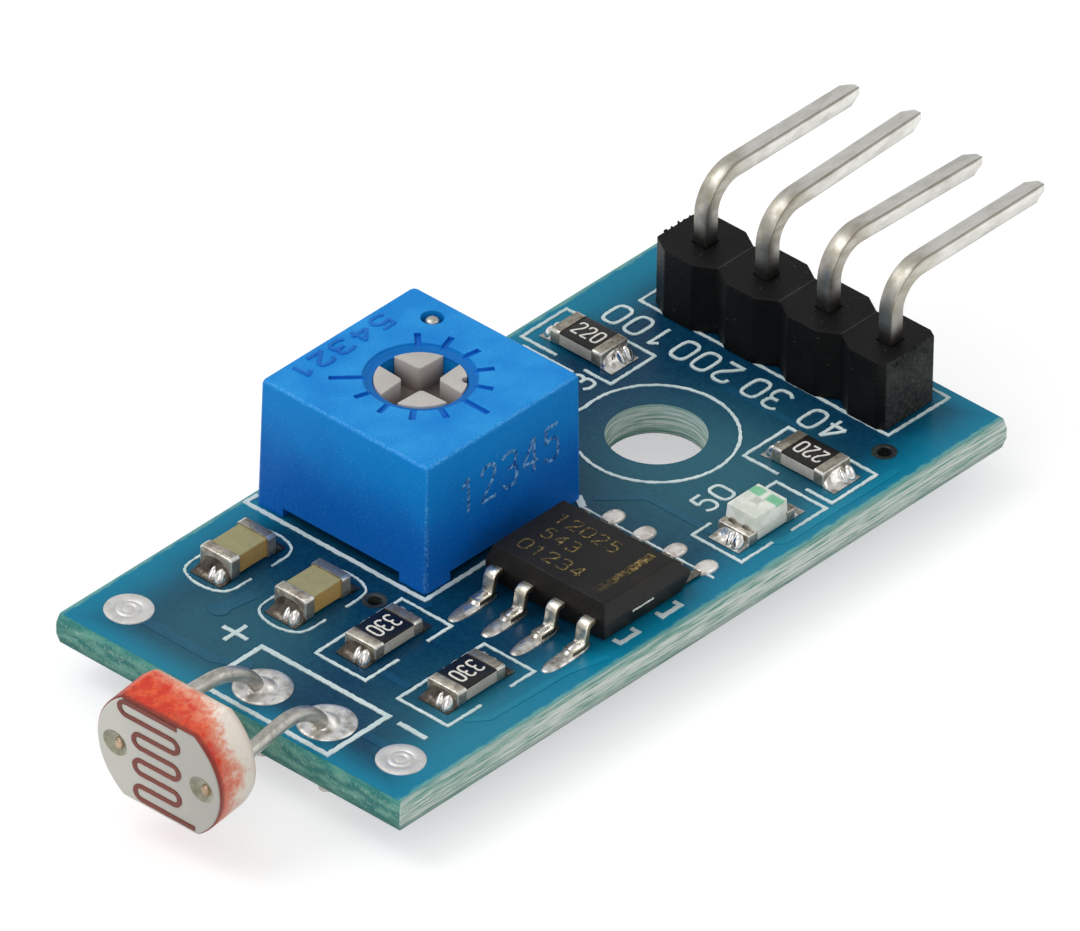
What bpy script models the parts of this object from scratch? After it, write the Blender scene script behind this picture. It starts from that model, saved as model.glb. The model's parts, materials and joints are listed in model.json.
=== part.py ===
"""Light sensor module: a small circuit board with a photoresistor, a trimmer and a bent pin header.

Lengths are in metres and +Z is up. The board's underside is at z = 0 and its centre at x = y = 0.
The header stands at the +X end, the photoresistor hangs over the -X end, and the trimmer stands on
the +Y half. Each group of pieces is built round its own seat on the board and hangs from an empty.
"""

import math

import bmesh
import bpy
from mathutils import Euler, Matrix, Vector

MM = 0.001

# Gap between pieces that touch, and how far a cutter runs past what it cuts.
SEAT_GAP = 0.02 * MM
CUT_MARGIN = 0.5 * MM

# Board, with edges snapped along scored grooves.
BOARD_LENGTH = 27.3 * MM
BOARD_WIDTH = 14.0 * MM
BOARD_THICKNESS = 1.1 * MM
SCORE_DEPTH = 0.34 * MM
SCORE_RUN = 0.09 * MM
MOUNT_HOLE_X = 5.7 * MM
MOUNT_HOLE_Y = 0.15 * MM
MOUNT_HOLE_DIAMETER = 3.2 * MM
VIA_DIAMETER = 0.6 * MM
VIA_PLACES = ((-6.65 * MM, 0.5 * MM), (9.8 * MM, -5.55 * MM))

# Solder joints and the tails that pass through the board.
TAIL_LENGTH = 1.3 * MM
SOLDER_HEIGHT = 0.95 * MM
SOLDER_SKIN = 0.07 * MM

# Pin header: chamfered units of one strip, sawn at both ends.
HEADER_X = 11.72 * MM
HEADER_Y = -0.2 * MM
HEADER_COUNT = 4
HEADER_PITCH = 2.54 * MM
HEADER_DEPTH = 2.5 * MM
HEADER_HEIGHT = 2.5 * MM
HEADER_CHAMFER_RUN = 0.7 * MM
HEADER_CHAMFER_DEPTH = 0.42 * MM
HEADER_FIRST_END = 1.27 * MM
HEADER_LAST_END = 0.86 * MM
HEADER_HOLE_DIAMETER = 1.0 * MM
HEADER_PAD_DIAMETER = 1.75 * MM
PIN_WIDTH = 0.56 * MM
PIN_RISE = 2.24 * MM
PIN_REACH = 6.92 * MM
PIN_BEND_RADIUS = 1.2 * MM
PIN_TIP_LENGTH = 0.5 * MM
PIN_TIP_SHARE = 0.5
PIN_TIP_LIFTS = (0.0 * MM, 0.25 * MM, -0.2 * MM, 0.0 * MM)

# Trimmer: a square housing over a turning rotor, a spring wiper and a ceramic element.
TRIMMER_X = -1.9 * MM
TRIMMER_Y = 3.05 * MM
TRIMMER_WIDTH = 7.02 * MM
TRIMMER_DRAFT = 0.07 * MM
TRIMMER_HEIGHT = 4.65 * MM
TRIMMER_EDGE = 0.15 * MM
TRIMMER_FOOT_HEIGHT = 0.35 * MM
TRIMMER_FOOT_WIDTH = 1.1 * MM
TRIMMER_WALL = 0.45 * MM
TRIMMER_ROOF = 1.3 * MM
TRIMMER_WELL_DIAMETER = 2.94 * MM
TRIMMER_RING_DIAMETER = 3.56 * MM
TRIMMER_RING_DEPTH = 0.08 * MM
TRIMMER_PIN_SIDE = 0.97 * MM
TRIMMER_PIN_BACK = 1.66 * MM
TRIMMER_MIDDLE_PIN_FRONT = 2.82 * MM
TRIMMER_PIN_DIAMETER = 0.5 * MM
TRIMMER_HOLE_DIAMETER = 0.85 * MM
TRIMMER_PAD_DIAMETER = 1.6 * MM
TRIMMER_BORE_DIAMETER = 0.76 * MM
TRIMMER_POST_DEPTH = 0.22 * MM
TRIMMER_SHOULDER = 0.53 * MM
ELEMENT_THICKNESS = 0.8 * MM
TRACK_THICKNESS = 0.05 * MM
TRACK_INSET = 0.55 * MM
TRACK_WIDTH = 0.6 * MM
TRACK_GAP_DEGREES = 60.0
COLLECTOR_GAP = 0.5 * MM
ROTOR_CLEARANCE = 0.03 * MM
ROTOR_FLANGE_THICKNESS = 1.4 * MM
ROTOR_LUG_HEIGHT = 0.4 * MM
ROTOR_RECESS = 0.1 * MM
ROTOR_SLOT_DEPTH = 0.95 * MM
ROTOR_SLOT_WIDTH = 0.8 * MM
ROTOR_SLOT_END_WIDTH = 0.6 * MM
ROTOR_NOTCH_DIAMETER = 0.36 * MM
WIPER_THICKNESS = 0.12 * MM
WIPER_WIDTH = 0.9 * MM
WIPER_SLOT_DEPTH = 0.16 * MM

# The rotor's lug points with its notch and wiper, and the housing's rib stands over the track's gap.
POINTER_DEGREES = -47.5
LUG_DEGREES = 64.0
RIB_DEGREES = 26.0
GAP_MIDDLE_DEGREES = 90.0

# Round sizes inside the trimmer, from the housing's sides inward.
ROTOR_FLANGE_DIAMETER = TRIMMER_WIDTH - 2 * (TRIMMER_WALL + TRIMMER_SHOULDER + ROTOR_CLEARANCE)
ROTOR_HUB_DIAMETER = ROTOR_FLANGE_DIAMETER - 2 * ROTOR_LUG_HEIGHT
TRACK_RADIUS = ROTOR_FLANGE_DIAMETER / 2 - TRACK_INSET
COLLECTOR_DIAMETER = 2 * TRACK_RADIUS - TRACK_WIDTH - 2 * COLLECTOR_GAP

# Heights inside the trimmer above the board, in a stack that follows from the sizes above.
ELEMENT_TOP = TRIMMER_FOOT_HEIGHT + ELEMENT_THICKNESS
TRACK_TOP = ELEMENT_TOP + TRACK_THICKNESS
CAVITY_TOP = TRIMMER_HEIGHT - TRIMMER_ROOF
FLANGE_TOP = CAVITY_TOP - ROTOR_CLEARANCE
FLANGE_BOTTOM = FLANGE_TOP - ROTOR_FLANGE_THICKNESS
ROTOR_TOP = TRIMMER_HEIGHT - ROTOR_RECESS

# Comparator: an eight-lead small-outline package.
COMPARATOR_X = -1.76 * MM
COMPARATOR_Y = -3.77 * MM
COMPARATOR_LENGTH = 4.9 * MM
COMPARATOR_WIDTH = 3.9 * MM
COMPARATOR_TOP = 1.5 * MM
COMPARATOR_STANDOFF = 0.12 * MM
COMPARATOR_DRAFT = 0.18 * MM
COMPARATOR_CHAMFER = 0.4 * MM
LEADS_PER_SIDE = 4
LEAD_PITCH = 1.27 * MM
LEAD_SPAN = 6.0 * MM
LEAD_WIDTH = 0.41 * MM
LEAD_THICKNESS = 0.2 * MM
LEAD_HEIGHT = 0.85 * MM
LEAD_KNEE = 0.32 * MM
LEAD_FOOT = 0.62 * MM
LEAD_BEND_RADIUS = 0.16 * MM

# Chip parts: body length, width and height by kind, and their places with the turn about Z.
RESISTOR_SIZE = (2.0 * MM, 1.25 * MM, 0.42 * MM)
CAPACITOR_SIZE = (1.9 * MM, 1.17 * MM, 0.66 * MM)
LED_SIZE = (2.0 * MM, 1.25 * MM, 0.28 * MM)
LED_LENS_LENGTH = 1.5 * MM
LED_LENS_HEIGHT = 0.55 * MM
LED_LENS_DRAFT = 0.04 * MM
TERMINAL_TAB = 0.3 * MM
TERMINAL_SKIN = 0.04 * MM
FILLET_REACH = 0.5 * MM
FILLET_SHARE = 0.8
CHIP_COLUMN_X = -7.95 * MM
RESISTOR_PLACES = (
    (CHIP_COLUMN_X, -1.07 * MM, 0.0),
    (CHIP_COLUMN_X, -4.46 * MM, 0.0),
    (7.68 * MM, 4.75 * MM, 90.0),
    (7.68 * MM, -4.42 * MM, 90.0),
)
CAPACITOR_PLACES = ((CHIP_COLUMN_X, 4.95 * MM, 0.0), (CHIP_COLUMN_X, 1.87 * MM, 0.0))
LED_PLACES = {"power_led": (4.25 * MM, 5.27 * MM, 0.0), "output_led": (4.25 * MM, -5.27 * MM, 0.0)}

# Photoresistor: a flatted disc whose face looks along -X, on two wires bent down into the board.
SENSOR_FACE_X = -18.2 * MM
SENSOR_Y = -1.33 * MM
SENSOR_Z = 1.96 * MM
SENSOR_TURN = (math.radians(2.0), math.radians(-5.0), math.radians(2.5))
SENSOR_DIAMETER = 4.9 * MM
SENSOR_HEIGHT = 3.96 * MM
SENSOR_THICKNESS = 1.9 * MM
SENSOR_FRONT_EDGE = 0.08 * MM
SENSOR_BACK_EDGE = 0.4 * MM
SENSOR_LEAD_SPACING = 3.4 * MM
SENSOR_LEAD_DIAMETER = 0.5 * MM
SENSOR_BORE_CLEARANCE = 0.04 * MM
SENSOR_RECESS_DIAMETER = 0.95 * MM
SENSOR_RECESS_DEPTH = 0.16 * MM
SENSOR_BEND_RADIUS = 2.0 * MM
SENSOR_BEND_HEIGHT = 2.5 * MM
SENSOR_PAD_X = -12.25 * MM
SENSOR_PADS_Y = -1.4 * MM
SENSOR_PAD_SPACING = 2.64 * MM
SENSOR_PAD_DIAMETER = 1.88 * MM
SENSOR_HOLE_DIAMETER = 1.0 * MM
SENSOR_MOUND_HEIGHT = 0.42 * MM
SERPENTINE_LINES = 7
SERPENTINE_Y = 0.06 * MM
SERPENTINE_Z = -0.17 * MM
SERPENTINE_PITCH = 0.515 * MM
SERPENTINE_HALF_LENGTH = 0.62 * MM
SERPENTINE_TAIL = 0.75 * MM
SERPENTINE_WIDTH = 0.17 * MM
SERPENTINE_THICKNESS = 0.04 * MM

# Facets round a large and a small circle, along a bend, up a rounded edge and up a solder cone.
ROUND_SEGMENTS = 24
SMALL_SEGMENTS = 16
BEND_STEPS = 8
EDGE_STEPS = 3
SOLDER_STEPS = 4
SHARP_DEGREES = 35.0

FINISHES = {
    "solder_mask": ((0.004, 0.10, 0.20), 0.35, 0.0),
    "black_plastic": ((0.012, 0.012, 0.013), 0.45, 0.0),
    "tinned_metal": ((0.62, 0.60, 0.55), 0.30, 1.0),
    "solder": ((0.66, 0.66, 0.64), 0.28, 1.0),
    "blue_plastic": ((0.01, 0.14, 0.62), 0.40, 0.0),
    "grey_plastic": ((0.42, 0.40, 0.37), 0.50, 0.0),
    "spring_bronze": ((0.60, 0.42, 0.20), 0.30, 1.0),
    "white_ceramic": ((0.75, 0.74, 0.70), 0.55, 0.0),
    "package_epoxy": ((0.018, 0.018, 0.019), 0.55, 0.0),
    "resistor_glaze": ((0.015, 0.014, 0.014), 0.35, 0.0),
    "tan_ceramic": ((0.42, 0.33, 0.18), 0.50, 0.0),
    "milky_resin": ((0.78, 0.78, 0.72), 0.35, 0.0),
    "red_lacquer": ((0.66, 0.12, 0.05), 0.40, 0.0),
    "brown_film": ((0.20, 0.035, 0.025), 0.60, 0.0),
}


def clear_scene():
    """Removes whatever objects the file starts with."""
    for item in list(bpy.data.objects):
        bpy.data.objects.remove(item, do_unlink=True)


def finish(name):
    """Returns the named material, making it the first time it is asked for."""
    if name in bpy.data.materials:
        return bpy.data.materials[name]
    colour, roughness, metallic = FINISHES[name]
    material = bpy.data.materials.new(name)
    material.use_nodes = True
    material.diffuse_color = (*colour, 1.0)
    shader = material.node_tree.nodes["Principled BSDF"]
    shader.inputs["Base Color"].default_value = (*colour, 1.0)
    shader.inputs["Roughness"].default_value = roughness
    shader.inputs["Metallic"].default_value = metallic
    return material


def add_group(name, location, rotation=(0.0, 0.0, 0.0), parent=None):
    """Adds an empty that carries the pieces of one component."""
    group = bpy.data.objects.new(name, None)
    group.location = location
    group.rotation_euler = rotation
    group.parent = parent
    bpy.context.scene.collection.objects.link(group)
    return group


def add_piece(name, shape, finish_name, parent, location=(0.0, 0.0, 0.0)):
    """Turns a finished bmesh into a named object and frees the bmesh."""
    bmesh.ops.recalc_face_normals(shape, faces=shape.faces)
    mesh = bpy.data.meshes.new(name)
    shape.to_mesh(mesh)
    shape.free()
    mesh.materials.append(finish(finish_name))
    mesh.shade_smooth()
    mesh.set_sharp_from_angle(angle=math.radians(SHARP_DEGREES))
    piece = bpy.data.objects.new(name, mesh)
    piece.location = location
    piece.parent = parent
    bpy.context.scene.collection.objects.link(piece)
    return piece


def combine(piece, name, shape, operation):
    """Applies a hidden helper shape, given in the piece's own frame, to the piece."""
    helper = add_piece(name, shape, "solder", piece.parent, piece.location)
    helper.hide_render = True
    helper.display_type = "WIRE"
    boolean = piece.modifiers.new(name, "BOOLEAN")
    boolean.operation = operation
    boolean.solver = "EXACT"
    boolean.object = helper


def cut(piece, name, shape):
    """Takes a shape out of the piece."""
    combine(piece, name, shape, "DIFFERENCE")


def join(piece, name, shape):
    """Fuses a shape that overlaps the piece into it."""
    combine(piece, name, shape, "UNION")


def add_loft(shape, loops):
    """Joins loops of equal length by quads and caps both ends."""
    rings = [[shape.verts.new(point) for point in loop] for loop in loops]
    for lower, upper in zip(rings, rings[1:]):
        for index, vertex in enumerate(lower):
            follower = (index + 1) % len(lower)
            shape.faces.new((vertex, lower[follower], upper[follower], upper[index]))
    shape.faces.new(list(reversed(rings[0])))
    shape.faces.new(rings[-1])


def add_box(shape, size, centre):
    """Adds an axis-aligned box."""
    place = Matrix.Translation(centre) @ Matrix.Diagonal((*size, 1.0))
    bmesh.ops.create_cube(shape, size=1.0, matrix=place)


def add_cylinder(shape, diameter, bottom, top, centre=(0.0, 0.0), segments=SMALL_SEGMENTS):
    """Adds an upright cylinder between two heights."""
    place = Matrix.Translation((centre[0], centre[1], (bottom + top) / 2))
    bmesh.ops.create_cone(
        shape,
        cap_ends=True,
        segments=segments,
        radius1=diameter / 2,
        radius2=diameter / 2,
        depth=top - bottom,
        matrix=place,
    )


def add_turned(shape, profile, segments):
    """Spins an open profile of (radius, height) points, whose ends lie on the axis, about Z."""
    points = [shape.verts.new((radius, 0.0, height)) for radius, height in profile]
    edges = [shape.edges.new(pair) for pair in zip(points, points[1:])]
    bmesh.ops.spin(
        shape,
        geom=points + edges,
        cent=(0.0, 0.0, 0.0),
        axis=(0.0, 0.0, 1.0),
        angle=math.tau,
        steps=segments,
        use_merge=True,
    )
    bmesh.ops.remove_doubles(shape, verts=shape.verts, dist=SEAT_GAP / 10)


def prism(outline, bottom, top):
    """Returns a shape extruded upward from an outline of (x, y) points."""
    shape = bmesh.new()
    base = shape.faces.new([shape.verts.new((x, y, bottom)) for x, y in outline])
    extruded = bmesh.ops.extrude_face_region(shape, geom=[base])
    risen = [item for item in extruded["geom"] if isinstance(item, bmesh.types.BMVert)]
    bmesh.ops.translate(shape, verts=risen, vec=(0.0, 0.0, top - bottom))
    return shape


def rectangle(length, width, height):
    """Returns the corners of a centred rectangle at one height."""
    x = length / 2
    y = width / 2
    return [(-x, -y, height), (x, -y, height), (x, y, height), (-x, y, height)]


def rounded_square(width, radius, height, steps=2):
    """Returns the corners of a centred square with rounded corners at one height."""
    inner = width / 2 - radius
    points = []
    for quarter, (x, y) in enumerate(((1, 1), (-1, 1), (-1, -1), (1, -1))):
        for step in range(steps + 1):
            turn = math.radians(90) * (quarter + step / steps)
            across = x * inner + radius * math.cos(turn)
            points.append((across, y * inner + radius * math.sin(turn), height))
    return points


def arc_band(inner, outer, middle_degrees, span_degrees):
    """Returns the outline of a flat band that follows an arc about the origin."""
    start = math.radians(middle_degrees - span_degrees / 2)
    step = math.radians(span_degrees) / ROUND_SEGMENTS
    turns = [start + step * index for index in range(ROUND_SEGMENTS + 1)]
    outline = [(outer * math.cos(turn), outer * math.sin(turn)) for turn in turns]
    return outline + [(inner * math.cos(turn), inner * math.sin(turn)) for turn in reversed(turns)]


def rounded_path(corners, radius, steps=BEND_STEPS):
    """Returns the corner points with every inner corner replaced by an arc."""
    path = [Vector(corners[0])]
    for before, corner, after in zip(corners, corners[1:], corners[2:]):
        corner = Vector(corner)
        back = (Vector(before) - corner).normalized()
        onward = (Vector(after) - corner).normalized()
        half = back.angle(onward) / 2
        centre = corner + (back + onward).normalized() * radius / math.sin(half)
        start = corner + back * radius / math.tan(half) - centre
        end = corner + onward * radius / math.tan(half) - centre
        path += [centre + start.slerp(end, step / steps) * radius for step in range(steps + 1)]
    path.append(Vector(corners[-1]))
    return path


def round_section(diameter, segments=SMALL_SEGMENTS):
    """Returns the (across, up) points of a round section."""
    turns = [math.tau * index / segments for index in range(segments)]
    return [(diameter / 2 * math.cos(turn), diameter / 2 * math.sin(turn)) for turn in turns]


def flat_section(across, up):
    """Returns the (across, up) points of a rectangular section."""
    return [(-across / 2, -up / 2), (across / 2, -up / 2), (across / 2, up / 2), (-across / 2, up / 2)]


def sweep(path, section, side=(0.0, 1.0, 0.0), scales=None):
    """Returns a tube along a path, its section's across axis kept as near as it can be to side."""
    shape = bmesh.new()
    side = Vector(side)
    loops = []
    for index, point in enumerate(path):
        before = path[max(index - 1, 0)]
        after = path[min(index + 1, len(path) - 1)]
        along = (point - before).normalized() + (after - point).normalized()
        along.normalize()
        across = (side - along * side.dot(along)).normalized()
        up = along.cross(across)
        scale = scales[index] if scales else 1.0
        loops.append([point + (across * a + up * b) * scale for a, b in section])
    add_loft(shape, loops)
    return shape


def add_solder(name, place, pin_shape, hole_diameter, pad_diameter, pin_diameter, parent, mound=0.0):
    """Adds the solder that fills one plated hole round a pin.

    The joint is a hollow-sided cone below the board, a barrel through the hole and, where mound is
    above zero, a low dome on the top side. pin_shape is the pin's room, in the board's frame.
    """
    barrel = hole_diameter / 2 - SEAT_GAP
    neck = pin_diameter / 2 + SOLDER_SKIN
    spread = pad_diameter / 2 - neck
    rises = [step / SOLDER_STEPS for step in range(SOLDER_STEPS + 1)]
    profile = [(0.0, -SOLDER_HEIGHT)]
    for rise in reversed(rises):
        depth = SEAT_GAP + (SOLDER_HEIGHT - SEAT_GAP) * rise
        profile.append((neck + spread * (1.0 - rise) ** 2, -depth))
    profile.append((barrel, -SEAT_GAP))
    if mound:
        top = BOARD_THICKNESS + SEAT_GAP
        profile.append((barrel, top))
        for rise in rises:
            turn = math.pi / 2 * rise
            profile.append((neck + spread * math.cos(turn), top + mound * math.sin(turn)))
        profile.append((0.0, top + mound))
    else:
        profile += [(barrel, BOARD_THICKNESS - SEAT_GAP), (0.0, BOARD_THICKNESS - SEAT_GAP)]
    shape = bmesh.new()
    add_turned(shape, profile, SMALL_SEGMENTS)
    joint = add_piece(name, shape, "solder", parent, (place[0], place[1], 0.0))
    bmesh.ops.translate(pin_shape, verts=pin_shape.verts, vec=(-place[0], -place[1], 0.0))
    cut(joint, name + "_pin_room", pin_shape)


def header_pin_places():
    """Returns the (x, y) of each header pin, the first at the +Y end."""
    middle = (HEADER_COUNT - 1) / 2
    return [(HEADER_X, HEADER_Y + (middle - index) * HEADER_PITCH) for index in range(HEADER_COUNT)]


def trimmer_pin_offsets():
    """Returns the (x, y) of each trimmer pin from the housing's centre, the one below the bore last."""
    half = TRIMMER_WIDTH / 2
    side = half - TRIMMER_PIN_SIDE
    back = half - TRIMMER_PIN_BACK
    return [(-side, back), (0.0, TRIMMER_MIDDLE_PIN_FRONT - half), (side, back)]


def trimmer_pin_places():
    """Returns the (x, y) of each trimmer pin on the board."""
    return [(TRIMMER_X + x, TRIMMER_Y + y) for x, y in trimmer_pin_offsets()]


def sensor_pad_places():
    """Returns the (x, y) of the photoresistor's two holes."""
    half = SENSOR_PAD_SPACING / 2
    return [(SENSOR_PAD_X, SENSOR_PADS_Y + half), (SENSOR_PAD_X, SENSOR_PADS_Y - half)]


def build_board(root):
    """The laminate: grooves scored from both faces leave a snapped web round the edge."""
    shape = bmesh.new()
    web = (BOARD_LENGTH + 2 * SCORE_RUN, BOARD_WIDTH + 2 * SCORE_RUN)
    add_loft(
        shape,
        [
            rectangle(BOARD_LENGTH, BOARD_WIDTH, 0.0),
            rectangle(*web, SCORE_DEPTH),
            rectangle(*web, BOARD_THICKNESS - SCORE_DEPTH),
            rectangle(BOARD_LENGTH, BOARD_WIDTH, BOARD_THICKNESS),
        ],
    )
    board = add_piece("pcb", shape, "solder_mask", root)
    holes = [(HEADER_HOLE_DIAMETER, place, SMALL_SEGMENTS) for place in header_pin_places()]
    holes += [(TRIMMER_HOLE_DIAMETER, place, SMALL_SEGMENTS) for place in trimmer_pin_places()]
    holes += [(SENSOR_HOLE_DIAMETER, place, SMALL_SEGMENTS) for place in sensor_pad_places()]
    holes += [(VIA_DIAMETER, place, SMALL_SEGMENTS) for place in VIA_PLACES]
    holes.append((MOUNT_HOLE_DIAMETER, (MOUNT_HOLE_X, MOUNT_HOLE_Y), 2 * ROUND_SEGMENTS))
    drills = bmesh.new()
    for diameter, place, segments in holes:
        add_cylinder(drills, diameter, -CUT_MARGIN, BOARD_THICKNESS + CUT_MARGIN, place, segments)
    cut(board, "pcb_holes", drills)


def header_outline():
    """Returns the strip's plan outline, narrowed at each line where two units meet."""
    middle = HEADER_PITCH * (HEADER_COUNT - 1) / 2
    first_end = middle + HEADER_FIRST_END
    last_end = -middle - HEADER_LAST_END
    seams = [middle + HEADER_PITCH * (0.5 - index) for index in range(HEADER_COUNT + 1)]
    stations = {first_end, last_end}
    for seam in seams:
        stations |= {seam + HEADER_CHAMFER_RUN, seam, seam - HEADER_CHAMFER_RUN}
    edge = []
    for y in sorted(stations):
        if last_end <= y <= first_end:
            nearest = min(abs(y - seam) for seam in seams)
            narrowing = HEADER_CHAMFER_DEPTH * max(0.0, 1.0 - nearest / HEADER_CHAMFER_RUN)
            edge.append((HEADER_DEPTH / 2 - narrowing, y))
    return edge + [(-x, y) for x, y in reversed(edge)]


def header_pin_path(place, lift):
    """Returns a pin's centre line: up through the body, then bent over to +X."""
    x, y = place
    height = BOARD_THICKNESS + HEADER_HEIGHT + PIN_RISE
    bend = rounded_path(
        [(x, y, -TAIL_LENGTH), (x, y, height), (x + PIN_REACH, y, height + lift)], PIN_BEND_RADIUS
    )
    tail_shoulder = Vector((x, y, PIN_TIP_LENGTH - TAIL_LENGTH))
    end = bend[-1]
    tip_shoulder = end + (bend[-2] - end).normalized() * PIN_TIP_LENGTH
    return [bend[0], tail_shoulder, *bend[1:-1], tip_shoulder, end]


def build_header(root):
    """The black strip, its four bent pins and their solder."""
    group = add_group("header", (HEADER_X, HEADER_Y, BOARD_THICKNESS), parent=root)
    strip = prism(header_outline(), SEAT_GAP, HEADER_HEIGHT)
    body = add_piece("header_body", strip, "black_plastic", group)
    sockets = bmesh.new()
    side = PIN_WIDTH + 2 * SEAT_GAP
    for x, y in header_pin_places():
        centre = (x - HEADER_X, y - HEADER_Y, HEADER_HEIGHT / 2)
        add_box(sockets, (side, side, HEADER_HEIGHT + 2 * CUT_MARGIN), centre)
    cut(body, "header_sockets", sockets)
    for number, (place, lift) in enumerate(zip(header_pin_places(), PIN_TIP_LIFTS), 1):
        path = header_pin_path(place, lift)
        scales = [PIN_TIP_SHARE] + [1.0] * (len(path) - 2) + [PIN_TIP_SHARE]
        pin = sweep(path, flat_section(PIN_WIDTH, PIN_WIDTH), scales=scales)
        add_piece(f"header_pin_{number}", pin, "tinned_metal", root)
        room = bmesh.new()
        depth = SOLDER_HEIGHT + CUT_MARGIN
        top = BOARD_THICKNESS + CUT_MARGIN
        add_box(room, (side, side, depth + top), (*place, (top - depth) / 2))
        add_solder(
            f"header_solder_{number}",
            place,
            room,
            HEADER_HOLE_DIAMETER,
            HEADER_PAD_DIAMETER,
            side * math.sqrt(2),
            root,
        )


def foot_gap_outline():
    """Returns the cross-shaped outline that leaves a foot at each corner of the housing."""
    outer = TRIMMER_WIDTH / 2 + CUT_MARGIN
    inner = TRIMMER_WIDTH / 2 - TRIMMER_FOOT_WIDTH
    arm = [(outer, -inner), (outer, inner), (inner, inner)]
    outline = []
    for quarter in range(4):
        turn = Matrix.Rotation(math.radians(90 * quarter), 2)
        outline += [tuple(turn @ Vector(point)) for point in arm]
    return outline


def build_trimmer_housing(group):
    """The square drafted shell, open below, with the rotor's well and a bore over one pin."""
    loops = [rounded_square(TRIMMER_WIDTH, TRIMMER_EDGE, SEAT_GAP)]
    for step in range(EDGE_STEPS + 1):
        turn = math.pi / 2 * step / EDGE_STEPS
        inset = TRIMMER_DRAFT + TRIMMER_EDGE * (1.0 - math.cos(turn))
        height = TRIMMER_HEIGHT - TRIMMER_EDGE * (1.0 - math.sin(turn))
        loops.append(rounded_square(TRIMMER_WIDTH - 2 * inset, TRIMMER_EDGE, height))
    shape = bmesh.new()
    add_loft(shape, loops)
    housing = add_piece("trimmer_housing", shape, "blue_plastic", group)
    cut(housing, "trimmer_foot_gaps", prism(foot_gap_outline(), -CUT_MARGIN, TRIMMER_FOOT_HEIGHT))
    pocket = bmesh.new()
    side = TRIMMER_WIDTH - 2 * TRIMMER_WALL
    pocket_height = ELEMENT_TOP + SEAT_GAP + CUT_MARGIN
    add_box(pocket, (side, side, pocket_height), (0.0, 0.0, pocket_height / 2 - CUT_MARGIN))
    cut(housing, "trimmer_pocket", pocket)
    cavity = ROTOR_FLANGE_DIAMETER / 2 + ROTOR_CLEARANCE
    well = TRIMMER_WELL_DIAMETER / 2
    ring = TRIMMER_RING_DIAMETER / 2
    ring_bottom = TRIMMER_HEIGHT - TRIMMER_RING_DEPTH
    room = bmesh.new()
    add_turned(
        room,
        [
            (0.0, TRIMMER_FOOT_HEIGHT),
            (cavity, TRIMMER_FOOT_HEIGHT),
            (cavity, CAVITY_TOP),
            (well, CAVITY_TOP),
            (well, ring_bottom),
            (ring, ring_bottom),
            (ring, TRIMMER_HEIGHT + CUT_MARGIN),
            (0.0, TRIMMER_HEIGHT + CUT_MARGIN),
        ],
        2 * ROUND_SEGMENTS,
    )
    cut(housing, "trimmer_rotor_room", room)
    hub = ROTOR_HUB_DIAMETER / 2 + ROTOR_CLEARANCE
    rib = arc_band(hub, cavity + CUT_MARGIN, GAP_MIDDLE_DEGREES, RIB_DEGREES)
    join(housing, "trimmer_stop_rib", prism(rib, FLANGE_BOTTOM, CAVITY_TOP + CUT_MARGIN))
    bore = bmesh.new()
    bore_top = TRIMMER_HEIGHT + CUT_MARGIN
    add_cylinder(bore, TRIMMER_BORE_DIAMETER, TRIMMER_FOOT_HEIGHT, bore_top, trimmer_pin_offsets()[-1])
    cut(housing, "trimmer_bore", bore)


def build_trimmer_element(group):
    """The ceramic plate, its raised arc of resistance track and collector, and a hole for each pin."""
    side = TRIMMER_WIDTH - 2 * TRIMMER_WALL - 2 * SEAT_GAP
    shape = bmesh.new()
    middle = TRIMMER_FOOT_HEIGHT + ELEMENT_THICKNESS / 2
    add_box(shape, (side, side, ELEMENT_THICKNESS), (0.0, 0.0, middle))
    element = add_piece("trimmer_element", shape, "white_ceramic", group)
    inner = TRACK_RADIUS - TRACK_WIDTH / 2
    outer = TRACK_RADIUS + TRACK_WIDTH / 2
    band = arc_band(inner, outer, GAP_MIDDLE_DEGREES + 180.0, 360.0 - TRACK_GAP_DEGREES)
    join(element, "trimmer_track", prism(band, middle, TRACK_TOP))
    collector = bmesh.new()
    add_cylinder(collector, COLLECTOR_DIAMETER, middle, TRACK_TOP, segments=ROUND_SEGMENTS)
    join(element, "trimmer_collector", collector)
    holes = bmesh.new()
    bottom = TRIMMER_FOOT_HEIGHT - CUT_MARGIN
    for place in trimmer_pin_offsets():
        add_cylinder(holes, TRIMMER_PIN_DIAMETER + 2 * SEAT_GAP, bottom, TRACK_TOP + CUT_MARGIN, place)
    cut(element, "trimmer_element_holes", holes)


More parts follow.
